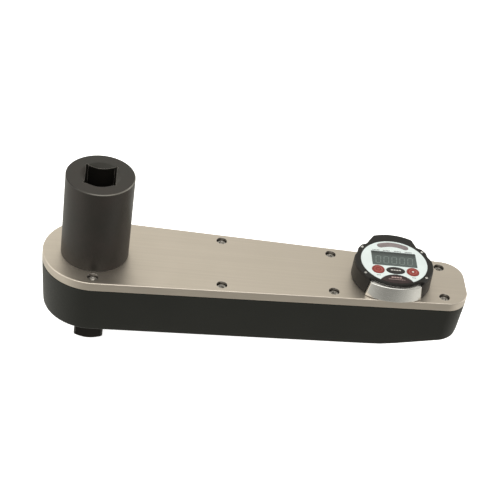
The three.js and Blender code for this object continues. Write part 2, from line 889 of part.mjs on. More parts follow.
function signalSlot(inset) {
  const middle = (signalArc.inner + signalArc.outer) / 2;
  const half = (signalArc.outer - signalArc.inner) / 2 - inset;
  const from = THREE.MathUtils.degToRad(signalArc.from) + half / middle;
  const to = THREE.MathUtils.degToRad(signalArc.to) - half / middle;
  const shape = new THREE.Shape();
  shape.absarc(0, 0, middle + half, from, to, false);
  shape.absarc(...polar(middle, to), half, to, to + Math.PI, false);
  shape.absarc(0, 0, middle - half, to, from, true);
  shape.absarc(...polar(middle, from), half, from + Math.PI, from + 2 * Math.PI, false);
  return shape;
}

// Half-moon plate at the front of the dial: the dial's rim below, an arched top above.
function labelOutline(inset) {
  const rim = label.rim - inset;
  const { arch } = label;
  const centreY = label.topY - inset - arch;
  const crossY = (rim ** 2 - arch ** 2 + centreY ** 2) / (2 * centreY);
  const crossX = Math.sqrt(rim ** 2 - crossY ** 2);
  const rimAngle = Math.atan2(crossY, crossX);
  const archAngle = Math.atan2(crossY - centreY, crossX);
  return polygon([
    ...arcPoints(0, 0, rim, Math.PI - rimAngle, 2 * Math.PI + rimAngle, 12),
    ...arcPoints(0, centreY, arch, archAngle, Math.PI - archAngle, 12).slice(1, -1),
  ]);
}

function dialFace() {
  const below = dialBottomZ - past;
  const above = dialZ + past;
  return cut(
    disc(faceRadius, dialBottomZ + restGap, dialZ, fine),
    block(...windowSize, below, above, ...windowCentre),
    prism(ellipse(modeButton.width, modeButton.height, 0, modeButton.y), below, above),
    bore(sideButton.radius, below, above, medium).translate(-sideButton.x, sideButton.y, 0),
    bore(sideButton.radius, below, above, medium).translate(sideButton.x, sideButton.y, 0),
    prism(signalSlot(0), below, above),
    prism(labelOutline(0), labelBottomZ - fitGap, above),
  );
}

function signalWindow() {
  return prism(signalSlot(fitGap + restGap), dialBottomZ + fitGap, dialZ + restGap);
}

function labelPlate() {
  return prism(labelOutline(fitGap), labelBottomZ, dialZ + restGap);
}

function displayModule() {
  const [width, height] = windowSize;
  const gap = 3 * fitGap;
  return join(
    block(width - gap, height - gap, dialZ - 2.2, dialZ - 0.35, ...windowCentre),
    block(width + 2, height - gap, dialZ - 3.6, dialBottomZ - fitGap, ...windowCentre),
  );
}

// Button levels: the stem stands clear of the board, and the flange is held under the dial.
const stemRadius = 2.5;
const stemBottomZ = boardTopZ + 1;
const flangeTopZ = dialBottomZ - fitGap;
const flangeBottomZ = flangeTopZ - 0.8;

function sideButtonCap() {
  const cap = sideButton.radius - 1.5 * fitGap;
  const flange = sideButton.radius + 0.4;
  return turned([
    [0, stemBottomZ],
    [stemRadius, stemBottomZ],
    [stemRadius, flangeBottomZ],
    [flange, flangeBottomZ],
    [flange, flangeTopZ],
    [cap, flangeTopZ],
    [cap, capTopZ - 0.3],
    [cap - 0.45, capTopZ],
    [0, capTopZ + 0.1],
  ], medium);
}

function modeButtonCap() {
  const { width, height } = modeButton;
  const gap = 3 * fitGap;
  return join(
    prism(ellipse(width - gap, height - gap, 0, 0), flangeTopZ - 0.4, capTopZ),
    prism(ellipse(width + 1, height + 1, 0, 0), flangeBottomZ, flangeTopZ),
    disc(stemRadius, stemBottomZ, flangeTopZ, coarse),
  );
}

function circuitBoard() {
  return disc(cupRadius - 0.6, boardZ, boardZ + boardThickness, medium);
}

// A coin cell lying on the floor of the cup.
function battery() {
  const bottom = caseBottomZ + 3.2;
  const radius = 10;
  return turned([
    [0, bottom],
    [radius - 0.8, bottom],
    [radius - 0.8, bottom + 0.5],
    [radius, bottom + 0.8],
    [radius, bottom + 3.8],
    [0, bottom + 3.8],
  ]);
}

// ---------------------------------------------------------------- assembly
const wrench = new THREE.Group();

function place(parent, name, geometry, material, position = [0, 0, 0], rotation = [0, 0, 0]) {
  const mesh = new THREE.Mesh(geometry, material);
  mesh.name = name;
  mesh.position.set(...position);
  mesh.rotation.set(...rotation);
  parent.add(mesh);
}

function placeEach(parent, name, geometry, material, places, z, rotation) {
  places.forEach(([x, y], i) => place(parent, `${name}_${i + 1}`, geometry, material, [x, y, z], rotation));
}

function addBody() {
  place(wrench, 'housing', housing(), blackCasting);
  place(wrench, 'cover_gasket', coverGasket(), blackRubber);
  place(wrench, 'cover_plate', coverPlate(), brushedPlate);
  const screwZ = coverScrewSeatZ + restGap;
  placeEach(wrench, 'cover_screw', capScrew(coverScrew), zincSteel, coverScrewPlaces(), screwZ);
  const stopZ = stopSeatZ - stopDepth + restGap;
  placeEach(wrench, 'overload_stop', overloadStop(), springSteel, stopPlaces(), stopZ);
}

function addTower() {
  const upsideDown = [Math.PI, 0, 0];
  place(wrench, 'input_tower', inputTower(), blackOxide);
  placeEach(
    wrench, 'tower_screw', capScrew(towerScrew), zincSteel,
    towerScrewPlaces(), plateBottomZ - restGap, upsideDown,
  );
  placeEach(wrench, 'tower_dowel', towerDowel(), springSteel, dowelPlaces(), plateBottomZ + 0.2);
}

function addDrive() {
  place(wrench, 'torsion_shaft', torsionShaft(), springSteel);
  place(wrench, 'lower_bush', lowerBush(), bronze);
  place(wrench, 'shaft_seal', shaftSeal(), blackRubber);
  place(wrench, 'thrust_washer', thrustWasher(), springSteel);
  place(wrench, 'retaining_ring', retainingRing(), springSteel);
  place(wrench, 'sensing_arm', sensingArm(), aluminium);
  place(wrench, 'hub_key', hubKey(), springSteel);
  place(
    wrench, 'hub_set_screw', hubSetScrew(), zincSteel,
    [-hubSeatRadius - 0.3, 0, setScrewZ], [0, -Math.PI / 2, 0],
  );
  const faceX = maleSquare / 2;
  const ballX = faceX - detentRadius + detentTravel;
  place(wrench, 'detent_ball', detentBall(), springSteel, [ballX, 0, detentZ]);
  place(wrench, 'detent_spring', detentSpring(), springSteel, [faceX - detentBoreDepth + 0.5, 0, detentZ]);
}

function addGauge() {
  const gauge = new THREE.Group();
  gauge.position.x = gaugeX;
  wrench.add(gauge);
  place(gauge, 'encoder', encoder(), blackPlastic);
  place(gauge, 'encoder_pinion', encoderPinion(), bronze);
  place(gauge, 'encoder_lead', encoderLead(), cableGrey);
  place(gauge, 'gauge_gasket', gaugeGasket(), blackRubber);
  place(gauge, 'gauge_body', gaugeBody(), aluminium);
  place(gauge, 'gauge_case', gaugeCase(), blackPlastic);
  place(gauge, 'gauge_bezel', gaugeBezel(), blackPlastic);
  placeEach(gauge, 'bezel_screw', bezelScrew(), zincSteel, bezelScrewPlaces(), bezelScrewSeatZ);
  place(gauge, 'battery', battery(), zincSteel, [-9, 0, 0]);
  place(gauge, 'circuit_board', circuitBoard(), boardGreen);
  place(gauge, 'display_module', displayModule(), lcdGlass);
  place(gauge, 'dial_face', dialFace(), whiteFace);
  place(gauge, 'signal_window', signalWindow(), greyWindow);
  place(gauge, 'label_plate', labelPlate(), labelDark);
  place(gauge, 'left_button', sideButtonCap(), redPlastic, [-sideButton.x, sideButton.y, 0]);
  place(gauge, 'right_button', sideButtonCap(), redPlastic, [sideButton.x, sideButton.y, 0]);
  place(gauge, 'mode_button', modeButtonCap(), blackPlastic, [0, modeButton.y, 0]);
  const upsideDown = [Math.PI, 0, 0];
  placeEach(
    wrench, 'gauge_screw', capScrew(gaugeScrew), zincSteel,
    gaugeScrewPlaces(), plateBottomZ + gaugeScrewRecess - restGap, upsideDown,
  );
}

addBody();
addTower();
addDrive();
addGauge();

export default wrench;
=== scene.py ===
"""Looks of the feed-through torque wrench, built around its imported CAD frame.

Lengths in the code are millimetres, and the camera's and lights' places are metres.
"""
import math

import bmesh
import bpy
from mathutils import Matrix, Vector


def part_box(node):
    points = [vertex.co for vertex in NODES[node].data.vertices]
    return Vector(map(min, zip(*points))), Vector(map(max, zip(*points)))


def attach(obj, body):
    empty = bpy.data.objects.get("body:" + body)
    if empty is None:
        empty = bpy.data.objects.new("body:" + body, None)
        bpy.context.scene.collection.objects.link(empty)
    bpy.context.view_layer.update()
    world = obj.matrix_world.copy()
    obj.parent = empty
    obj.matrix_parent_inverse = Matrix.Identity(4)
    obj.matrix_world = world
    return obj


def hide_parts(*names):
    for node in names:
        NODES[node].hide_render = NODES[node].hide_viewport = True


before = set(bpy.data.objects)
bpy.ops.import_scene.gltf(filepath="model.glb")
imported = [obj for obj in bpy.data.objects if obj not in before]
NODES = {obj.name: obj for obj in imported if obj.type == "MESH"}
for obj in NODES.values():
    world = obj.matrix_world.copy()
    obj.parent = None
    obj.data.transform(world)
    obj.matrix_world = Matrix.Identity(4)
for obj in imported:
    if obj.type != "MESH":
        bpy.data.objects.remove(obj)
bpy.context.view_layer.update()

MM = 0.001


def low(node):
    """A CAD node's lowest corner, in millimetres."""
    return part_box(node)[0] / MM


def high(node):
    """A CAD node's highest corner, in millimetres."""
    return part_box(node)[1] / MM


def middle(node):
    """The middle of a CAD node in plan, in millimetres."""
    centre = (low(node) + high(node)) / 2
    return centre.x, centre.y


# ---------------- sizes taken from the frame
PLATE_BOTTOM = low("cover_plate").z
PLATE_TOP = high("cover_plate").z
HOUSING_BOTTOM = low("housing").z
HOUSING_TOP = high("housing").z
TOWER_TOP = high("input_tower").z
TOWER_RADIUS = high("input_tower").x
HEAD_RADIUS = -low("cover_plate").x
TAIL_END = high("cover_plate").x
GAUGE_X = middle("dial_face")[0]
UNDER_DIAL = low("dial_face").z - 0.04
DIAL_TOP = high("dial_face").z
DIAL_RADIUS = (high("dial_face").x - low("dial_face").x) / 2
CASE_BOTTOM = low("gauge_case").z
CASE_TOP = high("gauge_case").z
BEZEL_TOP = high("gauge_bezel").z

# ---------------- sizes that the frame doesn't give
TAIL_CORNER_RADIUS = 19.3
TAIL_CORNER_X = TAIL_END - TAIL_CORNER_RADIUS
TAIL_CORNER_Y = 10.1
DRAFT = math.tan(math.radians(3.3))
HEEL_X = 257
HEEL_SLOPE = math.tan(math.radians(10))
WALL = 5
FLOOR = 6
SHAFT_BOSS_RADIUS = 27.5
SEAL_BORE_RADIUS = 23.1
SHAFT_BORE_RADIUS = 20.6
FEMALE_SQUARE = 25.7
SOCKET_DEPTH = 30
SPIGOT_RADIUS = 18
MALE_SQUARE = 25.2
SQUARE_LENGTH = 31
JOURNAL_RADIUS = 17
WAIST_RADIUS = 10.5
SPLINE_ROOT = 12.8
SPLINE_TIP = 14.4
SPLINE_BOTTOM = 114
SPLINE_TOP = 131.4
COVER_SCREW_LENGTH = 18
TOWER_SCREW_HOLE = 3.2
DOWEL_HOLE = 2.7
GAUGE_SCREW_HOLE = 2.2
LEAD_HOLE = 3.2
LEAD_HOLE_OFFSET = 8.4

COVER_SCREWS = [f"cover_screw_{i + 1}" for i in range(8)]
SCREW_PLACES = [middle(node) for node in COVER_SCREWS]
BEZEL_SCREWS = [f"bezel_screw_{i + 1}" for i in range(4)]
TOWER_SCREWS = [f"tower_screw_{i + 1}" for i in range(6)]
GAUGE_SCREWS = [f"gauge_screw_{i + 1}" for i in range(3)]
TOWER_DOWELS = ["tower_dowel_1", "tower_dowel_2"]
OVERLOAD_STOPS = ["overload_stop_1", "overload_stop_2"]


# ---------------- mesh helpers
def mesh_object(name, points, faces):
    """A mesh object from points in millimetres."""
    data = bpy.data.meshes.new(name)
    data.from_pydata([Vector(p) * MM for p in points], [], faces)
    data.validate()
    body = bmesh.new()
    body.from_mesh(data)
    bmesh.ops.recalc_face_normals(body, faces=body.faces)
    body.to_mesh(data)
    body.free()
    piece = bpy.data.objects.new(name, data)
    bpy.context.scene.collection.objects.link(piece)
    return piece


def apply_modifiers(piece):
    """Turns a piece's modifiers into its own mesh."""
    evaluated = piece.evaluated_get(bpy.context.evaluated_depsgraph_get())
    data = bpy.data.meshes.new_from_object(evaluated)
    piece.modifiers.clear()
    piece.data = data
    return piece


def combine(piece, tools, operation):
    """Cuts, joins or intersects a piece with tools, which are used up."""
    for tool in tools:
        modifier = piece.modifiers.new("combine", "BOOLEAN")
        modifier.operation = operation
        modifier.solver = "EXACT"
        modifier.object = tool
    bpy.context.view_layer.update()
    apply_modifiers(piece)
    for tool in tools:
        bpy.data.objects.remove(tool)
    return piece


def cut(piece, *tools):
    return combine(piece, tools, "DIFFERENCE")


def join(piece, *tools):
    return combine(piece, tools, "UNION")


def common(piece, *tools):
    return combine(piece, tools, "INTERSECT")


def soften(piece, angle=32):
    """Smooth shading that keeps wide faces flat, and edges sharper than the angle crisp."""
    body = bmesh.new()
    body.from_mesh(piece.data)
    bmesh.ops.remove_doubles(body, verts=body.verts, dist=1e-7)
    limit = math.radians(angle)
    for face in body.faces:
        face.smooth = True
    for edge in body.edges:
        edge.smooth = len(edge.link_faces) == 2 and edge.calc_face_angle(0) < limit
    body.to_mesh(piece.data)
    body.free()
    modifier = piece.modifiers.new("flat_faces", "WEIGHTED_NORMAL")
    modifier.keep_sharp = True
    modifier.weight = 100
    bpy.context.view_layer.update()
    return apply_modifiers(piece)


def round_edges(piece, width, angle=40, segments=3):
    """Rounds every edge that is sharper than the angle."""
    modifier = piece.modifiers.new("round", "BEVEL")
    modifier.width = width * MM
    modifier.segments = segments
    modifier.limit_method = "ANGLE"
    modifier.angle_limit = math.radians(angle)
    modifier.use_clamp_overlap = True
    bpy.context.view_layer.update()
    return apply_modifiers(piece)


def moved(piece, x=0, y=0, z=0, turn=None):
    """Turns a piece's mesh about the origin, then shifts it, in millimetres."""
    if turn:
        piece.data.transform(turn)
    piece.data.transform(Matrix.Translation(Vector((x, y, z)) * MM))
    return piece


def polar(radius, angle, x=0, y=0):
    return x + radius * math.cos(angle), y + radius * math.sin(angle)


def arc(x, y, radius, start, end, steps):
    return [polar(radius, start + (end - start) * i / steps, x, y) for i in range(steps + 1)]


def circle(radius, steps, x=0, y=0):
    return arc(x, y, radius, 0, 2 * math.pi, steps)[:-1]


def ring_faces(rings, count, closed=False):
    """Faces that join rings of count points to the next one, and the last to the first if closed."""
    faces = []
    for level in range(rings if closed else rings - 1):
        here = level * count
        there = (level + 1) % rings * count
        for i in range(count):
            j = (i + 1) % count
            faces.append((here + i, here + j, there + j, there + i))
    return faces


def skin(name, rings, closed=False):
    """Skins rings of equal length. Unless closed on itself, the first and last ring are capped."""
    count = len(rings[0])
    points = [p for ring in rings for p in ring]
    faces = ring_faces(len(rings), count, closed)
    if not closed:
        faces.append(tuple(range(count)))
        faces.append(tuple((len(rings) - 1) * count + i for i in range(count)))
    return mesh_object(name, points, faces)


def turned(name, profile, steps=64):
    """A turned solid about Z. The profile lists (radius, z), and ends on the axis or closes on itself."""
    closed = profile[0][0] > 0
    inner = [p for p in profile if p[0] > 0]
    rings = [[(*polar(r, 2 * math.pi * i / steps), z) for i in range(steps)] for r, z in inner]
    return skin(name, rings, closed)


def disc(radius, bottom, top, steps=48, x=0, y=0):
    return moved(turned("disc", [(0, bottom), (radius, bottom), (radius, top), (0, top)], steps), x, y)


def prism(name, outline, bottom, top):
    """Extrudes one closed outline."""
    return skin(name, [[(x, y, z) for x, y in outline] for z in (bottom, top)])


def rectangle(x0, x1, y0, y1):
    return [(x0, y0), (x1, y0), (x1, y1), (x0, y1)]


def block(x0, x1, y0, y1, z0, z1):
    return prism("block", rectangle(x0, x1, y0, y1), z0, z1)


def corner_curve(before, corner, after, radius, parts, steps):
    """Points that round one corner. They start no further from it than each side divided by parts."""
    here = Vector(corner)
    a = Vector(before) - here
    b = Vector(after) - here
    reach = min(radius, a.length / parts, b.length / parts)
    start = here + a.normalized() * reach
    end = here + b.normalized() * reach
    points = []
    for i in range(steps + 1):
        t = i / steps
        point = start * (1 - t) ** 2 + here * 2 * t * (1 - t) + end * t ** 2
        points.append((point.x, point.y))
    return points


def rounded_profile(corners, radius, steps=4):
    """A turned profile with every corner off the axis rounded."""
    result = [corners[0]]
    for before, corner, after in zip(corners, corners[1:], corners[2:]):
        result += corner_curve(before, corner, after, radius, 2.1, steps)
    result.append(corners[-1])
    return result


# ---------------- materials
class Graph:
    """A material's node tree, with short ways to add and join nodes."""

    def __init__(self, name, base, roughness, metallic=0.0, **shader):
        self.material = bpy.data.materials.new(name)
        self.material.use_nodes = True
        self.tree = self.material.node_tree
        self.shader = self.tree.nodes["Principled BSDF"]
        self.shader.inputs["Base Color"].default_value = (*base, 1)
        self.shader.inputs["Roughness"].default_value = roughness
        self.shader.inputs["Metallic"].default_value = metallic
        for socket, value in shader.items():
            self.shader.inputs[socket.replace("_", " ")].default_value = value
        self.normal = None

    def node(self, kind, inputs=None, **settings):
        made = self.tree.nodes.new("ShaderNode" + kind)
        for key, value in settings.items():
            setattr(made, key, value)
        for key, value in (inputs or {}).items():
            if isinstance(value, bpy.types.NodeSocket):
                self.tree.links.new(value, made.inputs[key])
            else:
                made.inputs[key].default_value = value
        return made

    def place(self, scale=(1, 1, 1)):
        """Object coordinates, stretched; scales are features per metre."""
        coordinates = self.node("TexCoord").outputs["Object"]
        return self.node("Mapping", {"Vector": coordinates, "Scale": scale}).outputs["Vector"]

    def noise(self, scale, detail=3.0, roughness=0.5):
        size = scale if isinstance(scale, tuple) else (scale,) * 3
        inputs = {"Vector": self.place(size), "Scale": 1.0, "Detail": detail, "Roughness": roughness}
        return self.node("TexNoise", inputs).outputs["Fac"]

    def spread(self, value, start, end, low_value, high_value):
        """Maps a value's range to another one, clamped."""
        limits = {"From Min": start, "From Max": end, "To Min": low_value, "To Max": high_value}
        return self.node("MapRange", {"Value": value, **limits}).outputs["Result"]

    def swing(self, noise, low_value, high_value):
        """Maps the range that noise mostly keeps to, 0.3 to 0.7, to another one."""
        return self.spread(noise, 0.3, 0.7, low_value, high_value)

    def tones(self, noise, start, end, first, second):
        """Goes from the first colour to the second as the noise goes from start to end."""
        return self.mix(self.spread(noise, start, end, 0.0, 1.0), first, second)

    def mix(self, factor, first, second):
        made = self.node("Mix", data_type="RGBA")
        for index, value in ((0, factor), (6, first), (7, second)):
            if isinstance(value, bpy.types.NodeSocket):
                self.tree.links.new(value, made.inputs[index])
            elif index:
                made.inputs[index].default_value = (*value, 1)
            else:
                made.inputs[index].default_value = value
        return made.outputs[2]

    def math(self, operation, first, second):
        return self.node("Math", {0: first, 1: second}, operation=operation).outputs[0]

    def edges(self, radius):
        """1 on edges and corners within the radius in millimetres, and 0 on flats."""
        soft = self.node("Bevel", {"Radius": radius * MM}, samples=4).outputs["Normal"]
        plain = self.node("NewGeometry").outputs["Normal"]
        dot = self.node("VectorMath", {0: soft, 1: plain}, operation="DOT_PRODUCT").outputs["Value"]
        return self.spread(dot, 0.995, 0.9, 0.0, 1.0)

    def colour(self, value):
        self.tree.links.new(value, self.shader.inputs["Base Color"])
        return self

    def gloss(self, value):
        self.tree.links.new(value, self.shader.inputs["Roughness"])
        return self

    def bump(self, value, depth, strength=1.0):
        """Adds relief of a depth in millimetres over what is there."""
        inputs = {"Height": value, "Distance": depth * MM, "Strength": strength}
        if self.normal:
            inputs["Normal"] = self.normal
        self.normal = self.node("Bump", inputs).outputs["Normal"]
        self.tree.links.new(self.normal, self.shader.inputs["Normal"])
        return self


def brushed_nickel():
    """Cover plate: satin metal, ground along the body, with faint handling marks."""
    g = Graph("brushed_nickel", (0.62, 0.55, 0.46), 0.36, 1.0)
    fine = g.noise((14, 2600, 2600), 2.0)
    coarse = g.noise((6, 520, 520), 3.0)
    cloud = g.noise(22, 3.0)
    scratch = g.noise((40, 5200, 900), 1.0)
    tone = g.tones(coarse, 0.3, 0.7, (0.605, 0.545, 0.48), (0.645, 0.582, 0.512))
    tone = g.mix(g.spread(cloud, 0.35, 0.7, 0.0, 0.35), tone, (0.60, 0.55, 0.475))
    wear = g.math("MULTIPLY", g.edges(0.5), 0.45)
    g.colour(g.mix(wear, tone, (0.86, 0.83, 0.78)))
    g.gloss(g.math("ADD", g.spread(fine, 0.25, 0.75, 0.38, 0.50), g.spread(cloud, 0.4, 0.7, -0.02, 0.05)))
    g.bump(fine, 0.006, 0.3)
    g.bump(g.spread(scratch, 0.68, 0.74, 0.0, 1.0), 0.006, 0.25)
    return g.material


def black_enamel():
    """Housing: fine-textured black enamel over a casting, rubbed a little at its edges."""
    g = Graph("black_enamel", (0.011, 0.012, 0.0095), 0.46, Specular_IOR_Level=0.33)
    peel = g.noise(900, 2.0)
    grit = g.noise(3200, 2.0)
    cloud = g.noise(18, 3.0)
    tone = g.tones(cloud, 0.3, 0.7, (0.0080, 0.0088, 0.0066), (0.0115, 0.0122, 0.0096))
    chips = g.spread(g.noise(420, 4.0, 0.7), 0.56, 0.66, 0.0, 1.0)
    wear = g.math("MULTIPLY", g.math("MULTIPLY", g.edges(0.8), chips), 0.55)
    g.colour(g.mix(wear, tone, (0.10, 0.095, 0.085)))
    g.gloss(g.math("ADD", g.swing(peel, 0.40, 0.52), g.swing(cloud, -0.03, 0.04)))
    g.bump(peel, 0.05, 0.5)
    g.bump(grit, 0.02, 0.35)
    return g.material


def black_oxide(name, depth, level):
    """Tower and drive: turned steel, blackened and oiled, browner where it has been handled."""
    g = Graph(name, (0.025, 0.022, 0.019), 0.42, 0.0, Specular_IOR_Level=level)
    lathe = g.noise((60, 60, 2400), 2.0)
    cloud = g.noise(30, 4.0, 0.6)
    fine = g.noise(1500, 2.0)
    # depth scales the colour; the low depth of the darker copy is painted shade
    plain = tuple(depth * c for c in (0.022, 0.0205, 0.017))
    brown = tuple(depth * c for c in (0.031, 0.0245, 0.0215))
    tone = g.tones(cloud, 0.35, 0.65, plain, brown)
    wear = g.math("MULTIPLY", g.edges(0.7), g.swing(fine, 0.35, 0.8))
    g.colour(g.mix(wear, tone, (0.34, 0.32, 0.29)))
    g.gloss(g.math("ADD", g.swing(cloud, 0.36, 0.46), g.swing(fine, -0.03, 0.03)))
    g.bump(lathe, 0.008, 0.3)
    g.bump(fine, 0.01, 0.25)
    return g.material


def chamfer_highlight_oxide():
    """The tower's top chamfer: a painted highlight, brightest toward +X, broken into noise patches that also
    read as the black finish rubbed through.
    """
    g = Graph("chamfer_highlight_oxide", (0.10, 0.095, 0.085), 0.4, 0.5)
    patches = g.spread(g.noise((60, 60, 600), 3.0), 0.35, 0.6, 0.3, 1.0)
    across = g.node("SeparateXYZ", {"Vector": g.place()}).outputs["X"]
    # painted highlight: the chamfer is lightened most toward +X, in patches
    rubbed = g.math("MULTIPLY", patches, g.spread(across, -0.02, 0.012, 0.0, 1.0))
    g.colour(g.mix(rubbed, (0.022, 0.0205, 0.018), (0.20, 0.19, 0.17)))
    g.gloss(g.spread(patches, 0.3, 1.0, 0.45, 0.32))
    return g.material


def plated_steel(name, tint):
    """Screws and pins: plated steel with turning marks and dull patches."""
    g = Graph(name, tint, 0.3, 1.0)
    cloud = g.noise(350, 3.0)
    fine = g.noise(4000, 2.0)
    dull = tuple(c * 0.62 for c in tint)
    g.colour(g.tones(cloud, 0.4, 0.7, tint, dull))
    g.gloss(g.swing(fine, 0.24, 0.42))
    g.bump(fine, 0.01, 0.3)
    return g.material


def ground_steel():
    """Shaft, pins and rings inside: ground alloy steel."""
    g = Graph("ground_steel", (0.42, 0.42, 0.42), 0.28, 1.0)
    lines = g.noise((90, 90, 5000), 2.0)
    cloud = g.noise(60, 3.0)
    g.colour(g.tones(cloud, 0.3, 0.7, (0.36, 0.36, 0.37), (0.48, 0.47, 0.46)))
    g.gloss(g.swing(lines, 0.22, 0.4))
    g.bump(lines, 0.008, 0.3)
    return g.material


def bronze():
    """Bush and pinion: sintered bronze with dark pores."""
    g = Graph("bronze", (0.50, 0.33, 0.17), 0.38, 1.0)
    pores = g.noise(2600, 2.0)
    g.colour(g.mix(g.spread(pores, 0.6, 0.72, 0.0, 0.8), (0.52, 0.35, 0.18), (0.16, 0.10, 0.06)))
    g.gloss(g.swing(pores, 0.3, 0.5))
    g.bump(pores, 0.02, 0.3)
    return g.material


def satin_aluminium():
    """Gauge body and arm: turned aluminium, faintly ringed."""
    g = Graph("satin_aluminium", (0.74, 0.735, 0.72), 0.24, 1.0)
    rings = g.noise((160, 160, 3600), 2.0)
    cloud = g.noise(45, 3.0)
    g.colour(g.tones(cloud, 0.3, 0.7, (0.70, 0.695, 0.68), (0.79, 0.785, 0.77)))
    g.gloss(g.swing(rings, 0.20, 0.28))
    g.bump(rings, 0.001, 0.12)
    return g.material


def moulded_black(name, rough):
    """Gauge case and bezel: black polymer with a spark-eroded texture."""
    g = Graph(name, (0.011, 0.0105, 0.0095), rough, Specular_IOR_Level=0.28)
    grain = g.noise(2400, 2.0)
    cloud = g.noise(60, 3.0)
    g.colour(g.tones(cloud, 0.3, 0.7, (0.010, 0.0095, 0.0085), (0.015, 0.0135, 0.0125)))
    matt = g.swing(grain, rough - 0.06, rough + 0.08)
    g.gloss(g.math("ADD", matt, g.swing(cloud, -0.02, 0.04)))
    g.bump(grain, 0.03, 0.4)
    return g.material


def rubber():
    """Gaskets and seal: dull moulded rubber with a little bloom."""
    g = Graph("rubber", (0.02, 0.02, 0.02), 0.75)
    bloom = g.noise(160, 4.0, 0.6)
    g.colour(g.mix(g.spread(bloom, 0.45, 0.7, 0.0, 0.5), (0.017, 0.017, 0.017), (0.06, 0.058, 0.055)))
    g.gloss(g.swing(bloom, 0.65, 0.85))
    g.bump(g.noise(1800, 2.0), 0.02, 0.3)
    return g.material


def printed_overlay():
    """Dial: white printed overlay, very slightly pebbled, with a grey cast in places."""
    g = Graph("printed_overlay", (0.80, 0.83, 0.81), 0.34)
    pebble = g.noise(2200, 2.0)
    cloud = g.noise(70, 3.0)
    g.colour(g.tones(cloud, 0.35, 0.7, (0.74, 0.82, 0.83), (0.69, 0.765, 0.775)))
    g.gloss(g.swing(pebble, 0.28, 0.42))
    g.bump(pebble, 0.012, 0.3)
    return g.material


def glossy_plastic(name, base, worn, rough=0.3):
    """Buttons, label and window: moulded plastic, polished by fingers in places."""
    g = Graph(name, base, rough)
    cloud = g.noise(240, 3.0)
    fine = g.noise(2600, 2.0)
    g.colour(g.tones(cloud, 0.4, 0.7, base, worn))
    g.gloss(g.swing(fine, rough - 0.06, rough + 0.1))
    g.bump(fine, 0.01, 0.25)
    return g.material


def display_glass():
    """Display: a grey-green reflective panel behind a hard clear window."""
    g = Graph("display_glass", (0.075, 0.092, 0.088), 0.2)
    mottled = g.noise((900, 900, 900), 2.0)
    height = g.node("SeparateXYZ", {"Vector": g.node("TexCoord").outputs["Object"]}).outputs["Y"]
    shade = g.spread(height, 0.007, 0.0135, 0.0, 1.0)
    tone = g.tones(mottled, 0.3, 0.7, (0.070, 0.090, 0.088), (0.090, 0.112, 0.109))
    g.colour(g.mix(shade, tone, (0.022, 0.028, 0.028)))
    g.gloss(g.swing(mottled, 0.16, 0.26))
    g.bump(mottled, 0.001, 0.2)
    return g.material


def ink(name, base):
    """Printed marks: thin ink with slight unevenness."""
    g = Graph(name, base, 0.4)
    patch = g.noise(1800, 2.0)
    pale = tuple(min(1.0, c * 1.25 + 0.01) for c in base)
    g.colour(g.tones(patch, 0.35, 0.7, base, pale))
    g.gloss(g.swing(patch, 0.34, 0.5))
    return g.material


def board_green():
    """Circuit board: green solder mask over copper."""
    g = Graph("board_green", (0.02, 0.13, 0.06), 0.35)
    weave = g.noise((1400, 1400, 200), 2.0)
    g.colour(g.tones(weave, 0.4, 0.6, (0.015, 0.11, 0.05), (0.03, 0.16, 0.07)))
    g.gloss(g.swing(weave, 0.3, 0.45))
    return g.material


def matte_floor():
    """The pale floor under the tool, lit from within so that it stays white around the tool."""
    g = Graph("pale_floor", (0.9, 0.9, 0.9), 0.8, Emission_Color=(1, 1, 1, 1), Emission_Strength=0.85)
    g.colour(g.mix(g.noise(3.0), (0.90, 0.90, 0.90), (0.92, 0.92, 0.92)))
    return g.material


ENAMEL = black_enamel()
NICKEL = brushed_nickel()
OXIDE = black_oxide("black_oxide", 0.85, 0.35)
# A darker, less reflective copy of the black oxide: painted shade on the drive under the housing and on the
# walls of the tower's square.
SHADED_OXIDE = black_oxide("oxide_painted_shade", 0.3, 0.2)
# The tower's top chamfer: a painted highlight, lighter toward +X.
CHAMFER_HIGHLIGHT = chamfer_highlight_oxide()
PLATED = plated_steel("plated_steel", (0.62, 0.60, 0.57))
# Painted shade: a dark steel for the walls and floors of the cover's screw counterbores.
RECESS_SHADE = plated_steel("recess_painted_shade", (0.24, 0.22, 0.20))
BRIGHT = plated_steel("bright_screw", (0.80, 0.79, 0.77))
GROUND = ground_steel()
BRONZE = bronze()
ALUMINIUM = satin_aluminium()
CASE_BLACK = moulded_black("moulded_black", 0.42)
ENCODER_BLACK = moulded_black("encoder_black", 0.5)
RUBBER = rubber()
OVERLAY = printed_overlay()
RED = glossy_plastic("red_cap", (0.22, 0.022, 0.016), (0.28, 0.034, 0.026), 0.36)
GLOSS_BLACK = glossy_plastic("black_cap", (0.006, 0.004, 0.0045), (0.012, 0.009, 0.0095), 0.34)
SMOKED = glossy_plastic("smoked_window", (0.20, 0.165, 0.172), (0.26, 0.22, 0.228), 0.3)
MAROON = glossy_plastic("maroon_label", (0.018, 0.0045, 0.006), (0.028, 0.009, 0.011), 0.4)
DISPLAY = display_glass()
DARK_INK = ink("dark_ink", (0.10, 0.10, 0.105))
PALE_INK = ink("pale_ink", (0.62, 0.60, 0.58))
RED_INK = ink("red_ink", (0.42, 0.13, 0.11))
LABEL_INK = ink("label_ink", (0.42, 0.30, 0.29))
SEGMENT = ink("display_segment", (0.12, 0.148, 0.143))
BOARD = board_green()


def finish_piece(piece, material, body="root", replaces=()):
    """Gives a piece its material, its body and the CAD nodes that it stands for."""
    piece.data.materials.clear()
    piece.data.materials.append(material)
    if replaces:
        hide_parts(*replaces)
    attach(piece, body)
    return piece


# ---------------- housing and cover
def flank_angle():
    """The angle of the flank's outward normal: the line that touches the head and the tail's corner."""
    reach = math.hypot(TAIL_CORNER_X, TAIL_CORNER_Y)
    return math.atan2(TAIL_CORNER_Y, TAIL_CORNER_X) + math.acos((HEAD_RADIUS - TAIL_CORNER_RADIUS) / reach)


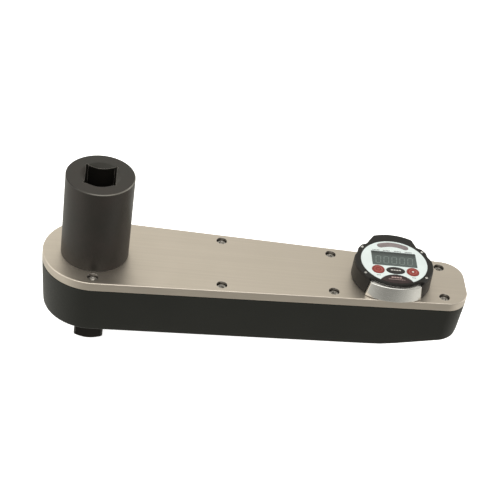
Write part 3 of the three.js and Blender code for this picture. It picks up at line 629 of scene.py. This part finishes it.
def body_outline(inset, flank_steps=24, head_steps=96, corner_steps=20):
    """The plan outline of the body: round head, straight flanks, round-cornered tail. It starts on +X."""
    flank = flank_angle()
    corner = TAIL_CORNER_RADIUS - inset
    upper = [(TAIL_END - inset, TAIL_CORNER_Y * i / 4) for i in range(4)]
    upper += arc(TAIL_CORNER_X, TAIL_CORNER_Y, corner, 0, flank, corner_steps)
    tail = Vector(upper[-1])
    head = Vector(polar(HEAD_RADIUS - inset, flank))
    upper += [tuple(tail.lerp(head, i / flank_steps)) for i in range(1, flank_steps)]
    upper += arc(0, 0, HEAD_RADIUS - inset, flank, math.pi, head_steps)
    lower = [(x, -y) for x, y in reversed(upper[1:-1])]
    return upper + lower


def underside(x, lift=0):
    """The height of the underside at x: level, then rising to the tail past the heel."""
    blend = 10
    along = x - HEEL_X
    rise = 0 if along < -blend else (along + blend) ** 2 / (4 * blend) if along < blend else along
    return HOUSING_BOTTOM + lift + rise * HEEL_SLOPE


def tail_round(x):
    """How far the lower corner at the tail is rounded up from the underside."""
    radius = 10
    past = x - (TAIL_END - radius - 1.5)
    if past <= 0:
        return 0
    return radius - math.sqrt(max(0, radius ** 2 - min(past, radius) ** 2))


def housing_ring(depth_share, inset, lift):
    """One ring of the housing's skin, at a share of the way down from the top to the underside."""
    ring = []
    for (x, y), (inner_x, inner_y) in zip(body_outline(0), body_outline(1)):
        z = HOUSING_TOP + (underside(x) + lift - HOUSING_TOP) * depth_share
        inward = (HOUSING_TOP - z) * DRAFT + inset
        ring.append((x + (inner_x - x) * inward, y + (inner_y - y) * inward, z))
    return ring


def housing_solid(name, inset, lift, edge, tail):
    """The drafted body from its top face down to the underside, with its lower edge rounded."""
    rings = [housing_ring(share / 8, inset, lift) for share in range(8)]
    for step in range(7):
        angle = math.radians(90 * step / 6)
        ring = housing_ring(1, inset + edge * (1 - math.cos(angle)), lift)
        rings.append([(x, y, z + edge * (1 - math.sin(angle))) for x, y, z in ring])
    if tail:
        rings = [[(x, y, max(z, underside(x) + tail_round(x))) for x, y, z in ring] for ring in rings]
    count = len(rings[0])
    points = [p for ring in rings for p in ring]
    faces = ring_faces(len(rings), count)
    half = count // 2
    for start in (0, (len(rings) - 1) * count):
        for i in range(half):
            strip = (start + i, start + i + 1, start + (count - i - 1) % count, start + (count - i) % count)
            faces.append(tuple(dict.fromkeys(strip)))
    return mesh_object(name, points, faces)


def build_housing():
    shell = housing_solid("housing_shell", 0, 0, 1.6, True)
    cavity = housing_solid("cavity", WALL, FLOOR, 2.5, False)
    moved(cavity, z=0.02)
    boss_bottom = low(COVER_SCREWS[0]).z - 3
    posts = [disc(5.6, boss_bottom, HOUSING_TOP + 1, 32, x, y) for x, y in SCREW_PLACES]
    posts.append(disc(SHAFT_BOSS_RADIUS, HOUSING_BOTTOM + 1, low("lower_bush").z + 15, 64))
    cut(cavity, *posts)
    cut(shell, cavity)
    seat = high("shaft_seal").z
    below = HOUSING_BOTTOM - 1
    seal_profile = [(0, below), (SEAL_BORE_RADIUS + 1, below), (SEAL_BORE_RADIUS, HOUSING_BOTTOM + 0.5),
                    (SEAL_BORE_RADIUS, seat), (0, seat)]
    cut(
        shell,
        disc(SHAFT_BORE_RADIUS, below, HOUSING_TOP - 5, 64),
        turned("seal_bore", seal_profile, 64),
        *[disc(2.5, boss_bottom + 2, HOUSING_TOP + 1, 24, x, y) for x, y in SCREW_PLACES],
    )
    soften(shell, 30)
    finish_piece(shell, ENAMEL, replaces=["housing"])


def build_cover():
    rings = []
    for inset, z in ((0.5, PLATE_BOTTOM), (0.12, PLATE_BOTTOM + 0.12), (0, PLATE_BOTTOM + 0.5)):
        rings.append([(x, y, z) for x, y in body_outline(inset)])
    round_radius = 0.9
    for step in range(6):
        angle = math.radians(18 * step)
        inset = round_radius * (1 - math.cos(angle))
        z = PLATE_TOP - round_radius * (1 - math.sin(angle))
        rings.append([(x, y, z) for x, y in body_outline(inset)])
    plate = skin("cover_plate_brushed", rings)
    below, above = PLATE_BOTTOM - 1, PLATE_TOP + 1
    seat = low(COVER_SCREWS[0]).z + COVER_SCREW_LENGTH
    hole, recess, rim = 2.7, 4.4, 4.75
    profile = [(0, below), (hole, below), (hole, seat), (recess, seat), (recess, PLATE_TOP - 0.25),
               (rim, PLATE_TOP + 0.1), (rim, above), (0, above)]
    holes = [moved(turned("hole", profile, 48), x, y) for x, y in SCREW_PLACES]
    sizes = ((TOWER_SCREW_HOLE, TOWER_SCREWS), (DOWEL_HOLE, TOWER_DOWELS), (GAUGE_SCREW_HOLE, GAUGE_SCREWS))
    for radius, nodes in sizes:
        holes += [disc(radius, below, above, 24, *middle(node)) for node in nodes]
    holes += [disc(4, below, PLATE_BOTTOM + 4.6, 32, *middle(node)) for node in GAUGE_SCREWS]
    holes.append(disc(SPIGOT_RADIUS + 0.1, below, above, 64))
    holes.append(disc(LEAD_HOLE, below, above, 24, GAUGE_X + LEAD_HOLE_OFFSET, 0))
    cut(plate, *holes)
    soften(plate, 30)
    finish_piece(plate, NICKEL, replaces=["cover_plate"])
    # Painted shade: faces in the counterbores below the plate's top take the dark steel.
    plate.data.materials.append(RECESS_SHADE)
    for face in plate.data.polygons:
        centre = face.center / MM
        near = any(math.dist((centre.x, centre.y), place) < 4.7 for place in SCREW_PLACES)
        if near and centre.z < PLATE_TOP - 0.05:
            face.material_index = 1


def socket_screw(name, head_radius, head_height, socket_radius, shank_radius, length):
    """A socket-head cap screw with its head's underside at the origin."""
    corners = [(0, -length), (shank_radius * 0.8, -length), (shank_radius, -length + 0.5),
               (shank_radius, 0), (head_radius, 0), (head_radius, head_height), (0, head_height)]
    body = turned(name, rounded_profile(corners, 0.4, 3), 48)
    socket = prism("socket", circle(socket_radius, 6), head_height * 0.35, head_height + 1)
    flare = turned("flare", [(0, head_height - 0.8), (socket_radius - 0.5, head_height - 0.3),
                             (socket_radius + 0.3, head_height + 0.3), (0, head_height + 0.3)], 32)
    cut(body, socket, flare)
    return soften(body, 30)


def build_cover_screws():
    for index, node in enumerate(COVER_SCREWS):
        screw = socket_screw(f"cover_cap_screw_{index + 1}", 3.95, 3.6, 2.3, 2.4, COVER_SCREW_LENGTH)
        moved(screw, turn=Matrix.Rotation(math.radians(37 * index), 4, "Z"))
        x, y = middle(node)
        moved(screw, x, y, low(node).z + COVER_SCREW_LENGTH)
        finish_piece(screw, PLATED, replaces=[node])


# ---------------- tower and shaft
def build_tower():
    seat = PLATE_TOP + 0.04
    corners = [(0, PLATE_BOTTOM + 0.3), (SPIGOT_RADIUS, PLATE_BOTTOM + 0.3), (SPIGOT_RADIUS, seat),
               (TOWER_RADIUS, seat),
               (TOWER_RADIUS, TOWER_TOP - 0.7), (TOWER_RADIUS - 0.7, TOWER_TOP), (0, TOWER_TOP)]
    body = turned("input_tower_turned", rounded_profile(corners, 0.25, 3), 160)
    half = FEMALE_SQUARE / 2
    socket_floor = TOWER_TOP - SOCKET_DEPTH
    hole = block(-half, half, -half, half, socket_floor, TOWER_TOP + 1)
    top = FEMALE_SQUARE * 0.68
    lead_in = turned("lead_in", [(0, TOWER_TOP - 9), (top - 9.15, TOWER_TOP - 6.1), (top, TOWER_TOP),
                                 (top + 1.5, TOWER_TOP + 1), (0, TOWER_TOP + 1)], 128)
    corner = half - 0.55
    reliefs = [disc(1.3, socket_floor, TOWER_TOP + 1, 24, sx * corner, sy * corner)
               for sx in (1, -1) for sy in (1, -1)]
    shaft_bore = disc(15.2, PLATE_BOTTOM - 1, 133, 64)
    bores = [disc(radius, PLATE_TOP - 1, PLATE_TOP + depth, 24, *middle(node))
             for radius, depth, nodes in ((TOWER_SCREW_HOLE, 16, TOWER_SCREWS), (DOWEL_HOLE, 9, TOWER_DOWELS))
             for node in nodes]
    cut(body, hole, lead_in, shaft_bore, *reliefs, *bores)
    round_edges(body, 0.18, 30, 2)
    soften(body, 35)
    finish_piece(body, OXIDE, replaces=["input_tower"])
    body.data.materials.append(CHAMFER_HIGHLIGHT)
    body.data.materials.append(SHADED_OXIDE)
    for face in body.data.polygons:
        centre = face.center / MM
        away = math.hypot(centre.x, centre.y)
        # painted highlight: the top chamfer's faces take the lightened oxide
        if away > TOWER_RADIUS - 0.8 and TOWER_TOP - 0.75 < centre.z < TOWER_TOP - 0.02:
            face.material_index = 1
        # painted shade: the walls of the square take the darker copy of the oxide
        elif away < FEMALE_SQUARE * 0.7 and abs(face.normal.z) < 0.1:
            face.material_index = 2


def build_shaft():
    square = MALE_SQUARE / 2
    groove = low("retaining_ring").z - 0.04
    end = block(-square, square, -square, square, 0, SQUARE_LENGTH)
    face, corner, chamfer = 12.2, 16.9, 2.8
    profile = [(0, 0), (face, 0), (corner, chamfer), (corner, SQUARE_LENGTH), (0, SQUARE_LENGTH)]
    envelope = turned("envelope", profile, 128)
    common(end, envelope)
    round_edges(end, 0.45, 40, 3)
    corners = [(0, 30.6), (16, 30.6), (JOURNAL_RADIUS, 31.4), (JOURNAL_RADIUS, groove), (15.7, groove),
               (15.7, groove + 1.2), (JOURNAL_RADIUS, groove + 1.2), (JOURNAL_RADIUS, 58), (16, 58),
               (16, 76), (WAIST_RADIUS, 81), (WAIST_RADIUS, 110), (SPLINE_ROOT, SPLINE_BOTTOM),
               (SPLINE_ROOT, SPLINE_TOP), (0, SPLINE_TOP)]
    stem = turned("stem", rounded_profile(corners, 0.3, 2), 96)
    teeth = []
    for index in range(12):
        middle_angle = index * math.pi / 6
        wide, narrow = 0.3 * math.pi / 6, 0.16 * math.pi / 6
        outline = [polar(12, middle_angle - wide), polar(SPLINE_TIP, middle_angle - narrow),
                   polar(SPLINE_TIP, middle_angle + narrow), polar(12, middle_angle + wide)]
        teeth.append(prism("tooth", outline, SPLINE_BOTTOM, SPLINE_TOP))
    shaft = join(end, stem, *teeth)
    shaft.name = "torsion_shaft_forged"
    ball_z = (low("detent_ball").z + high("detent_ball").z) / 2
    bore = moved(disc(3.4, 0, 10, 32), turn=Matrix.Rotation(math.pi / 2, 4, "Y"))
    cut(shaft, moved(bore, x=3.2, z=ball_z), block(15.4, 17.2, -3.1, 3.1, 59.8, 77.9))
    soften(shaft, 35)
    # painted shade: the drive takes the darker copy of the oxide
    finish_piece(shaft, SHADED_OXIDE, "drive", ["torsion_shaft"])


def build_detent():
    ball = bpy.data.meshes.new("detent_ball_polished")
    shape = bmesh.new()
    bmesh.ops.create_icosphere(shape, subdivisions=4, radius=3.3 * MM)
    shape.to_mesh(ball)
    shape.free()
    piece = bpy.data.objects.new("detent_ball_polished", ball)
    bpy.context.scene.collection.objects.link(piece)
    centre = (low("detent_ball") + high("detent_ball")) / 2
    moved(piece, *centre)
    soften(piece, 60)
    finish_piece(piece, GROUND, "detent", ["detent_ball"])


def build_underside_rings():
    clip_bottom = low("retaining_ring").z
    clip_top = high("retaining_ring").z
    gap = math.radians(14)
    outline = arc(0, 0, 20, gap, 2 * math.pi - gap, 72) + arc(0, 0, 15.8, 2 * math.pi - gap, gap, 72)
    clip = prism("retaining_ring_stamped", outline, clip_bottom, clip_top)
    round_edges(clip, 0.15, 40, 2)
    finish_piece(soften(clip), GROUND, "drive", ["retaining_ring"])
    bottom, top = low("thrust_washer").z, high("thrust_washer").z
    corners = [(17.3, bottom), (26, bottom), (26, top), (17.3, top), (17.3, bottom + 0.01)]
    washer = turned("thrust_washer_ground", rounded_profile(corners, 0.2, 2), 96)
    finish_piece(soften(washer), GROUND, replaces=["thrust_washer"])


# ---------------- gauge
CASE_CORNERS = [(10, 34.6), (21, 33.0), (28, 34.5), (39, 34.5), (46, 32.6), (61, 39.2),
                (113, 39.2), (134, 32.6), (141, 34.5), (152, 34.5), (159, 33.0), (170, 34.6)]
PAD_X = -0.6
PAD_RADIUS = 48
PAD_FRONT = -34.4
PAD_HALF_TOP = 22.2
PAD_HALF_BOTTOM = 24.7


def smooth_corners(points, radius, steps):
    """Rounds every corner of a closed outline."""
    result = []
    for i, corner in enumerate(points):
        result += corner_curve(points[i - 1], corner, points[(i + 1) % len(points)], radius, 2.05, steps)
    return result


def case_outline(inset):
    """The gauge case's lobed outline about its axis. Corners of equal radius are joined by an arc."""
    points = []
    for index, (degrees, radius) in enumerate(CASE_CORNERS):
        next_degrees, next_radius = CASE_CORNERS[(index + 1) % len(CASE_CORNERS)]
        span = (next_degrees - degrees) % 360
        steps = max(1, round(span / 3)) if next_radius == radius else 1
        points += [polar(radius - inset, math.radians(degrees + span * k / steps)) for k in range(steps)]
    return smooth_corners(points, 1.6, 4)


def gauge_skin(name, levels):
    """Skins the case's outline at (inset, z) levels."""
    return skin(name, [[(x, y, z) for x, y in case_outline(inset)] for inset, z in levels])


def front_window(shrink, bottom, top):
    """The front of the gauge where the metal body shows: a block whose sides spread downwards."""
    height = CASE_TOP - PLATE_TOP
    spread = (PAD_HALF_BOTTOM - PAD_HALF_TOP) / height
    rings = []
    for z in (bottom, top):
        half = PAD_HALF_TOP - shrink + (CASE_TOP - z) * spread
        rings.append([(x, y, z) for x, y in rectangle(PAD_X - half, PAD_X + half, -60, -17)])
    return skin("window", rings)


def on_gauge(piece):
    return moved(piece, GAUGE_X)


def build_gauge_body():
    top = CASE_TOP - 0.1
    shell = disc(29.6, CASE_BOTTOM, top, 128)
    reach = math.asin((PAD_HALF_BOTTOM + 2) / PAD_RADIUS)
    crown = arc(PAD_X, PAD_FRONT + PAD_RADIUS, PAD_RADIUS, -math.pi / 2 - reach, -math.pi / 2 + reach, 64)
    pad = prism("pad", crown + [(PAD_X, -16)], CASE_BOTTOM, top)
    common(pad, front_window(0.3, CASE_BOTTOM - 1, top + 1))
    round_edges(pad, 0.9, 50, 4)
    body = join(shell, pad)
    body.name = "gauge_body_turned"
    inner, outer = 31.5, 31.8
    profile = [(inner, top - 0.35), (outer, top - 0.35), (outer, top + 1), (inner, top + 1)]
    cup = disc(27.1, CASE_BOTTOM + 3, top + 1, 96)
    lead_hole = disc(LEAD_HOLE, CASE_BOTTOM - 1, top, 24, LEAD_HOLE_OFFSET, 0)
    cut(body, cup, lead_hole, turned("groove", profile, 160))
    soften(body, 30)
    finish_piece(on_gauge(body), ALUMINIUM, replaces=["gauge_body"])


def build_gauge_case():
    levels = [(0.1, CASE_BOTTOM), (-0.3, CASE_BOTTOM + 0.5), (0, CASE_TOP - 0.4), (0.15, CASE_TOP)]
    case = gauge_skin("gauge_case_moulded", levels)
    seat = disc(29.9, CASE_BOTTOM - 1, CASE_TOP + 1, 128)
    window = front_window(0, CASE_BOTTOM - 1, CASE_TOP + 1)
    holes = [disc(1.0, CASE_TOP - 8, CASE_TOP + 1, 20, *bezel_spot(node)) for node in BEZEL_SCREWS]
    cut(case, seat, window, *holes)
    soften(case, 28)
    finish_piece(on_gauge(case), CASE_BLACK, replaces=["gauge_case"])


def bezel_spot(node):
    x, y = middle(node)
    return x - GAUGE_X, y


def build_bezel():
    bottom = low("gauge_bezel").z
    below, above = bottom - 1, BEZEL_TOP + 1
    levels = [(0.3, bottom), (0.1, bottom + 0.3), (0.15, BEZEL_TOP - 0.9), (0.45, BEZEL_TOP - 0.35),
              (1.0, BEZEL_TOP)]
    bezel = gauge_skin("gauge_bezel_moulded", levels)
    common(bezel, join(disc(31, below, above, 128), block(-50, 50, -24.8, 60, below, above)))
    pockets = []
    for node in BEZEL_SCREWS:
        x, y = bezel_spot(node)
        pockets.append(disc(1.0, below, above, 20, x, y))
        pockets.append(disc(1.7, DIAL_TOP - 0.7, above, 32, x, y))
    profile = [(0, UNDER_DIAL), (29.2, UNDER_DIAL), (29.2, BEZEL_TOP - 0.35), (29.6, BEZEL_TOP + 0.1),
               (29.6, above), (0, above)]
    cut(bezel, turned("lip", profile, 128), disc(27.7, below, BEZEL_TOP, 128), *pockets)
    soften(bezel, 28)
    finish_piece(on_gauge(bezel), CASE_BLACK, replaces=["gauge_bezel"])


def build_bezel_screws():
    for index, node in enumerate(BEZEL_SCREWS):
        seat = low(node).z + 7
        corners = [(0, seat - 7), (0.8, seat - 7), (0.8, seat), (1.4, seat), (1.4, seat + 0.55),
                   (1.0, seat + 0.9), (0, seat + 0.9)]
        screw = turned(f"bezel_pan_screw_{index + 1}", rounded_profile(corners, 0.2, 3), 32)
        cross = []
        for turn in (0.4, 0.4 + math.pi / 2):
            slot = block(-0.8, 0.8, -0.16, 0.16, seat + 0.45, seat + 2)
            cross.append(moved(slot, turn=Matrix.Rotation(turn + index, 4, "Z")))
        cut(screw, *cross)
        soften(screw, 30)
        finish_piece(moved(screw, *middle(node)), BRIGHT, replaces=[node])


WINDOW = (-19.4, 20.0, -5.7, 14.1)
SIDE_BUTTON = (15.1, -12.0, 5.6)
MODE_BUTTON = (-11.9, 16.6, 9.6)


def ellipse(width, height, steps=64, y=0):
    return [(x * width, y + v * height) for x, v in circle(0.5, steps)]


def signal_outline(inset):
    """The arc slot at the back of the dial, with round ends."""
    inner, outer = 21.2 + inset, 27.3 - inset
    radius, half = (inner + outer) / 2, (outer - inner) / 2
    start = math.radians(54) + half / radius
    end = math.radians(122) - half / radius
    return (
        arc(0, 0, outer, start, end, 40)[:-1]
        + arc(*polar(radius, end), half, end, end + math.pi, 14)[:-1]
        + arc(0, 0, inner, end, start, 40)[:-1]
        + arc(*polar(radius, start), half, start + math.pi, start + 2 * math.pi, 14)[:-1]
    )


def label_outline(inset):
    """The half-moon at the front of the dial: the dial's rim below and an arched top."""
    rim = DIAL_RADIUS - inset
    arch = 16.4
    centre = -17.3 - inset - arch
    cross_y = (rim ** 2 - arch ** 2 + centre ** 2) / (2 * centre)
    cross_x = math.sqrt(rim ** 2 - cross_y ** 2)
    rim_angle = math.atan2(cross_y, cross_x)
    arch_angle = math.atan2(cross_y - centre, cross_x)
    top = arc(0, centre, arch, arch_angle, math.pi - arch_angle, 28)[1:-1]
    return arc(0, 0, rim, math.pi - rim_angle, 2 * math.pi + rim_angle, 36) + top


def build_dial():
    bottom = low("dial_face").z
    corners = [(0, bottom), (DIAL_RADIUS, bottom), (DIAL_RADIUS, DIAL_TOP), (0, DIAL_TOP)]
    dial = turned("dial_face_printed", rounded_profile(corners, 0.12, 3), 160)
    x0, x1, y0, y1 = WINDOW
    below, above = bottom - 1, DIAL_TOP + 1
    x, y, radius = SIDE_BUTTON
    mode_y, width, height = MODE_BUTTON
    cut(
        dial,
        block(x0, x1, y0, y1, below, above),
        disc(radius, below, above, 64, -x, y),
        disc(radius, below, above, 64, x, y),
        prism("oval", ellipse(width, height, y=mode_y), below, above),
        prism("slot", signal_outline(0), below, above),
        prism("moon", label_outline(-0.15), bottom + 0.5, above),
    )
    soften(dial, 30)
    finish_piece(on_gauge(dial), OVERLAY, replaces=["dial_face"])


def build_display():
    x0, x1, y0, y1 = WINDOW
    top = high("display_module").z
    glass = block(x0 + 0.15, x1 - 0.15, y0 + 0.15, y1 - 0.15, top - 1.85, top)
    round_edges(glass, 0.15, 40, 2)
    base = block(x0 - 1, x1 + 1, y0 + 0.15, y1 - 0.15, low("display_module").z, low("dial_face").z - 0.14)
    panel = join(glass, base)
    panel.name = "display_panel"
    finish_piece(on_gauge(soften(panel)), DISPLAY, replaces=["display_module"])
    segments = []
    pitch = (x1 - x0 - 4.4) / 5
    for index in range(5):
        segments += digit_bars(x0 + 2.2 + pitch * (index + 0.5), (y0 + y1) / 2 - 1.6)
    marks = join_flat("display_digits", segments, top - 0.02, top + 0.02)
    finish_piece(on_gauge(marks), SEGMENT)


def digit_bars(x, y):
    """The six outer bars of a seven-segment digit, each a slanted six-sided outline."""
    wide, tall, bar = 4.1, 9.4, 0.95
    loop = [(-1, 2), (1, 2), (1, 0), (1, -2), (-1, -2), (-1, 0)]
    bars = []
    for i in range(len(loop)):
        a, b = (Vector((ex * wide / 2, ey * tall / 4)) for ex, ey in (loop[i], loop[(i + 1) % len(loop)]))
        along = (b - a).normalized()
        across = Vector((-along.y, along.x)) * bar / 2
        a, b = a + along * 0.2, b - along * 0.2
        outline = [a, a + along * bar / 2 - across, b - along * bar / 2 - across, b,
                   b - along * bar / 2 + across, a + along * bar / 2 + across]
        bars.append([(x + p.x + p.y * 0.1, y + p.y) for p in outline])
    return bars


def join_flat(name, outlines, bottom, top):
    """One mesh of several thin flat marks that don't touch each other."""
    points, faces = [], []
    for outline in outlines:
        first = len(points)
        count = len(outline)
        points += [(x, y, z) for z in (bottom, top) for x, y in outline]
        faces.append(tuple(range(first + count - 1, first - 1, -1)))
        faces.append(tuple(range(first + count, first + 2 * count)))
        for i in range(count):
            j = (i + 1) % count
            faces.append((first + i, first + j, first + count + j, first + count + i))
    return mesh_object(name, points, faces)


def build_buttons():
    x, y, radius = SIDE_BUTTON
    for name, side in (("left_button", -1), ("right_button", 1)):
        bottom = low(name).z
        top = high(name).z
        reach = radius - 0.15
        corners = [(0, bottom), (2.5, bottom), (2.5, UNDER_DIAL - 0.9), (reach + 0.5, UNDER_DIAL - 0.9),
                   (reach + 0.5, UNDER_DIAL - 0.1), (reach, UNDER_DIAL - 0.1), (reach, top - 0.12),
                   (reach - 1.2, top), (reach - 1.7, top - 0.18), (0, top - 0.14)]
        cap = turned(f"{name}_cap", rounded_profile(corners, 0.3, 3), 72)
        soften(cap, 35)
        finish_piece(moved(cap, GAUGE_X + side * x, y), RED, name, [name])
        build_button_marks(name, side, top - 0.18)
    build_mode_button()


def build_button_marks(name, side, z):
    """A printed ring on each side button, with a bar on the left one and a pale dot on the right one."""
    x, y, _ = SIDE_BUTTON
    ring = circle(3.4, 48) + [(3.4, 0.0), (3.0, 0.0)] + circle(3.0, 48)[::-1]
    marks = [("ring", ring, RED_INK)]
    if side < 0:
        marks.append(("bar", rectangle(-1.1, 1.1, -0.22, 0.22), RED_INK))
    else:
        marks.append(("dot", circle(0.95, 24), PALE_INK))
    for kind, outline, material in marks:
        mark = join_flat(f"{name}_{kind}", [outline], z, z + 0.08)
        finish_piece(moved(mark, GAUGE_X + side * x, y), material, name)


def build_mode_button():
    mode_y, width, height = MODE_BUTTON
    top = high("mode_button").z
    rings = []
    bottom = low("mode_button").z
    stem_height = 4.2
    stem = stem_height - height
    for grow, z in ((stem, bottom), (stem, UNDER_DIAL - 0.9), (1, UNDER_DIAL - 0.9), (1, UNDER_DIAL - 0.1),
                    (-0.3, UNDER_DIAL - 0.1), (-0.3, top - 0.35), (-0.6, top - 0.1), (-1.2, top)):
        rings.append([(x, y, z) for x, y in ellipse(width + grow, height + grow)])
    cap = skin("mode_button_cap", rings)
    soften(cap, 35)
    finish_piece(moved(cap, GAUGE_X, mode_y), GLOSS_BLACK, "mode_button", ["mode_button"])
    dashes = dash_row(-4.2, -0.55, 4, 2.3, 1.8, 1.1)
    marks = join_flat("mode_button_mark", dashes, top - 0.02, top + 0.03)
    finish_piece(moved(marks, GAUGE_X, mode_y), PALE_INK, "mode_button")


def dash_row(x, y, count, pitch, width, height):
    """A row of plain dashes in place of printed words."""
    return [rectangle(x + i * pitch, x + i * pitch + width, y, y + height) for i in range(count)]


def build_dial_trim():
    window = prism("signal_lens", signal_outline(0.12), low("dial_face").z + 0.06, DIAL_TOP + 0.04)
    round_edges(window, 0.1, 40, 2)
    finish_piece(on_gauge(soften(window)), SMOKED, replaces=["signal_window"])
    label = prism("label_moon", label_outline(0.1), low("label_plate").z, DIAL_TOP + 0.04)
    round_edges(label, 0.1, 40, 2)
    finish_piece(on_gauge(soften(label)), MAROON, replaces=["label_plate"])
    bars = dash_row(-4.4, -22.1, 4, 2.3, 1.8, 1.5)
    bars += dash_row(-7.2, -24.3, 8, 1.85, 1.4, 0.6)
    lines = join_flat("label_lines", bars, DIAL_TOP + 0.02, DIAL_TOP + 0.06)
    finish_piece(on_gauge(lines), LABEL_INK)
    marks = []
    for left in (-17.8, -8.6, 1.2, 10.8):
        marks += dash_row(left, 14.6, 5, 1.3, 0.9, 1.1)
    for left in (-17.0, 13.8):
        marks += dash_row(left, -20.2, 3, 1.15, 0.8, 0.9)
    ticks = join_flat("dial_ticks", marks, DIAL_TOP - 0.02, DIAL_TOP + 0.03)
    finish_piece(on_gauge(ticks), DARK_INK)


# ---------------- CAD nodes that keep their shape
def dress_cad_nodes():
    materials = {
        "cover_gasket": RUBBER, "gauge_gasket": RUBBER, "shaft_seal": RUBBER, "lower_bush": BRONZE,
        "encoder_pinion": BRONZE, "encoder": ENCODER_BLACK, "encoder_lead": RUBBER,
        "sensing_arm": ALUMINIUM,
        "hub_key": GROUND, "hub_set_screw": PLATED, "detent_spring": GROUND, "battery": BRIGHT,
        "circuit_board": BOARD,
    }
    for node in TOWER_SCREWS + GAUGE_SCREWS:
        materials[node] = PLATED
    for node in OVERLOAD_STOPS + TOWER_DOWELS:
        materials[node] = GROUND
    for node, material in materials.items():
        slots = NODES[node].material_slots
        if slots:
            slots[0].material = material
        else:
            NODES[node].data.materials.append(material)


# ---------------- stage
def build_floor():
    """A wide pale floor that rises far away on every side. The rise shows in views from near level."""
    steps = 48
    flat_radius, rim_radius, rim_height = 20000, 26000, 15000
    points = [(x, y, -0.4) for x, y in circle(flat_radius, steps)]
    points += [(x, y, rim_height) for x, y in circle(rim_radius, steps)]
    sides = [(i, (i + 1) % steps, steps + (i + 1) % steps, steps + i) for i in range(steps)]
    floor = mesh_object("floor", points, [tuple(range(steps))] + sides)
    floor.data.materials.append(matte_floor())
    floor.visible_glossy = False
    floor.visible_diffuse = False


def area_light(name, place, target, size, power):
    """A soft rectangular light aimed at a point, all in metres."""
    data = bpy.data.lights.new(name, "AREA")
    data.shape = "RECTANGLE"
    data.size, data.size_y = size
    data.energy = power
    lamp = bpy.data.objects.new(name, data)
    lamp.location = place
    aim = Vector(target) - Vector(place)
    lamp.rotation_euler = aim.to_track_quat("-Z", "Y").to_euler()
    bpy.context.scene.collection.objects.link(lamp)


class Sky:
    """The world's node tree: soft light that depends on direction."""

    def __init__(self):
        self.world = bpy.data.worlds.new("studio")
        self.world.use_nodes = True
        self.tree = self.world.node_tree

    def ramp(self, value, start, end, low_value, high_value):
        made = self.tree.nodes.new("ShaderNodeMapRange")
        for index, setting in enumerate((start, end, low_value, high_value), 1):
            if isinstance(setting, bpy.types.NodeSocket):
                self.tree.links.new(setting, made.inputs[index])
            else:
                made.inputs[index].default_value = setting
        self.tree.links.new(value, made.inputs[0])
        return made.outputs[0]


def build_world():
    """Bright above, fading to the right, dimmer low in front of the tool and brighter low at its sides."""
    sky = Sky()
    bpy.context.scene.world = sky.world
    split = sky.tree.nodes.new("ShaderNodeSeparateXYZ")
    sky.tree.links.new(sky.tree.nodes.new("ShaderNodeTexCoord").outputs["Generated"], split.inputs[0])
    low_light = sky.ramp(split.outputs["Y"], -0.82, -0.42, 0.26, 0.85)
    high_light = sky.ramp(split.outputs["X"], -0.05, 0.30, 1.09, 0.56)
    light = sky.ramp(split.outputs["Z"], -0.15, 0.5, low_light, high_light)
    background = sky.tree.nodes["Background"]
    background.inputs["Color"].default_value = (1.0, 0.98, 0.89, 1)
    sky.tree.links.new(light, background.inputs["Strength"])


def build_lights():
    build_world()
    centre = (0.13, 0, 0.08)
    area_light("front_softbox", (0.10, -0.9, 1.3), centre, (1.6, 1.2), 8.5)
    area_light("left_card", (-1.3, -0.25, 0.55), centre, (0.9, 1.1), 4)
    area_light("right_card", (1.5, 0.35, 0.5), centre, (0.8, 1.0), 4)


# ---------------- camera
def build_camera():
    """The photograph's view: its bearing, height, roll, distance and lens."""
    azimuth, elevation, roll = (math.radians(a) for a in (-6.745, 37.34, 9.331))
    distance = 1.1827
    target = Vector((0.1296, -0.01794, 0.1179))
    back = Vector((math.sin(azimuth) * math.cos(elevation), -math.cos(azimuth) * math.cos(elevation),
                   math.sin(elevation)))
    right = (-back).cross(Vector((0, 0, 1))).normalized()
    up = right.cross(-back)
    across = right * math.cos(roll) + up * math.sin(roll)
    rise = up * math.cos(roll) - right * math.sin(roll)
    data = bpy.data.cameras.new("photo_camera")
    data.lens = 101.35
    data.sensor_width = 36
    camera = bpy.data.objects.new("photo_camera", data)
    turn = Matrix((across, rise, back)).transposed().to_4x4()
    camera.matrix_world = Matrix.Translation(target + back * distance) @ turn
    bpy.context.scene.collection.objects.link(camera)
    bpy.context.scene.camera = camera


bpy.context.scene.view_settings.view_transform = "Standard"
build_camera()
build_floor()
build_lights()
build_housing()
build_cover()
build_cover_screws()
build_tower()
build_shaft()
build_detent()
build_underside_rings()
build_gauge_body()
build_gauge_case()
build_bezel()
build_bezel_screws()
build_dial()
build_display()
build_buttons()
build_dial_trim()
dress_cad_nodes()
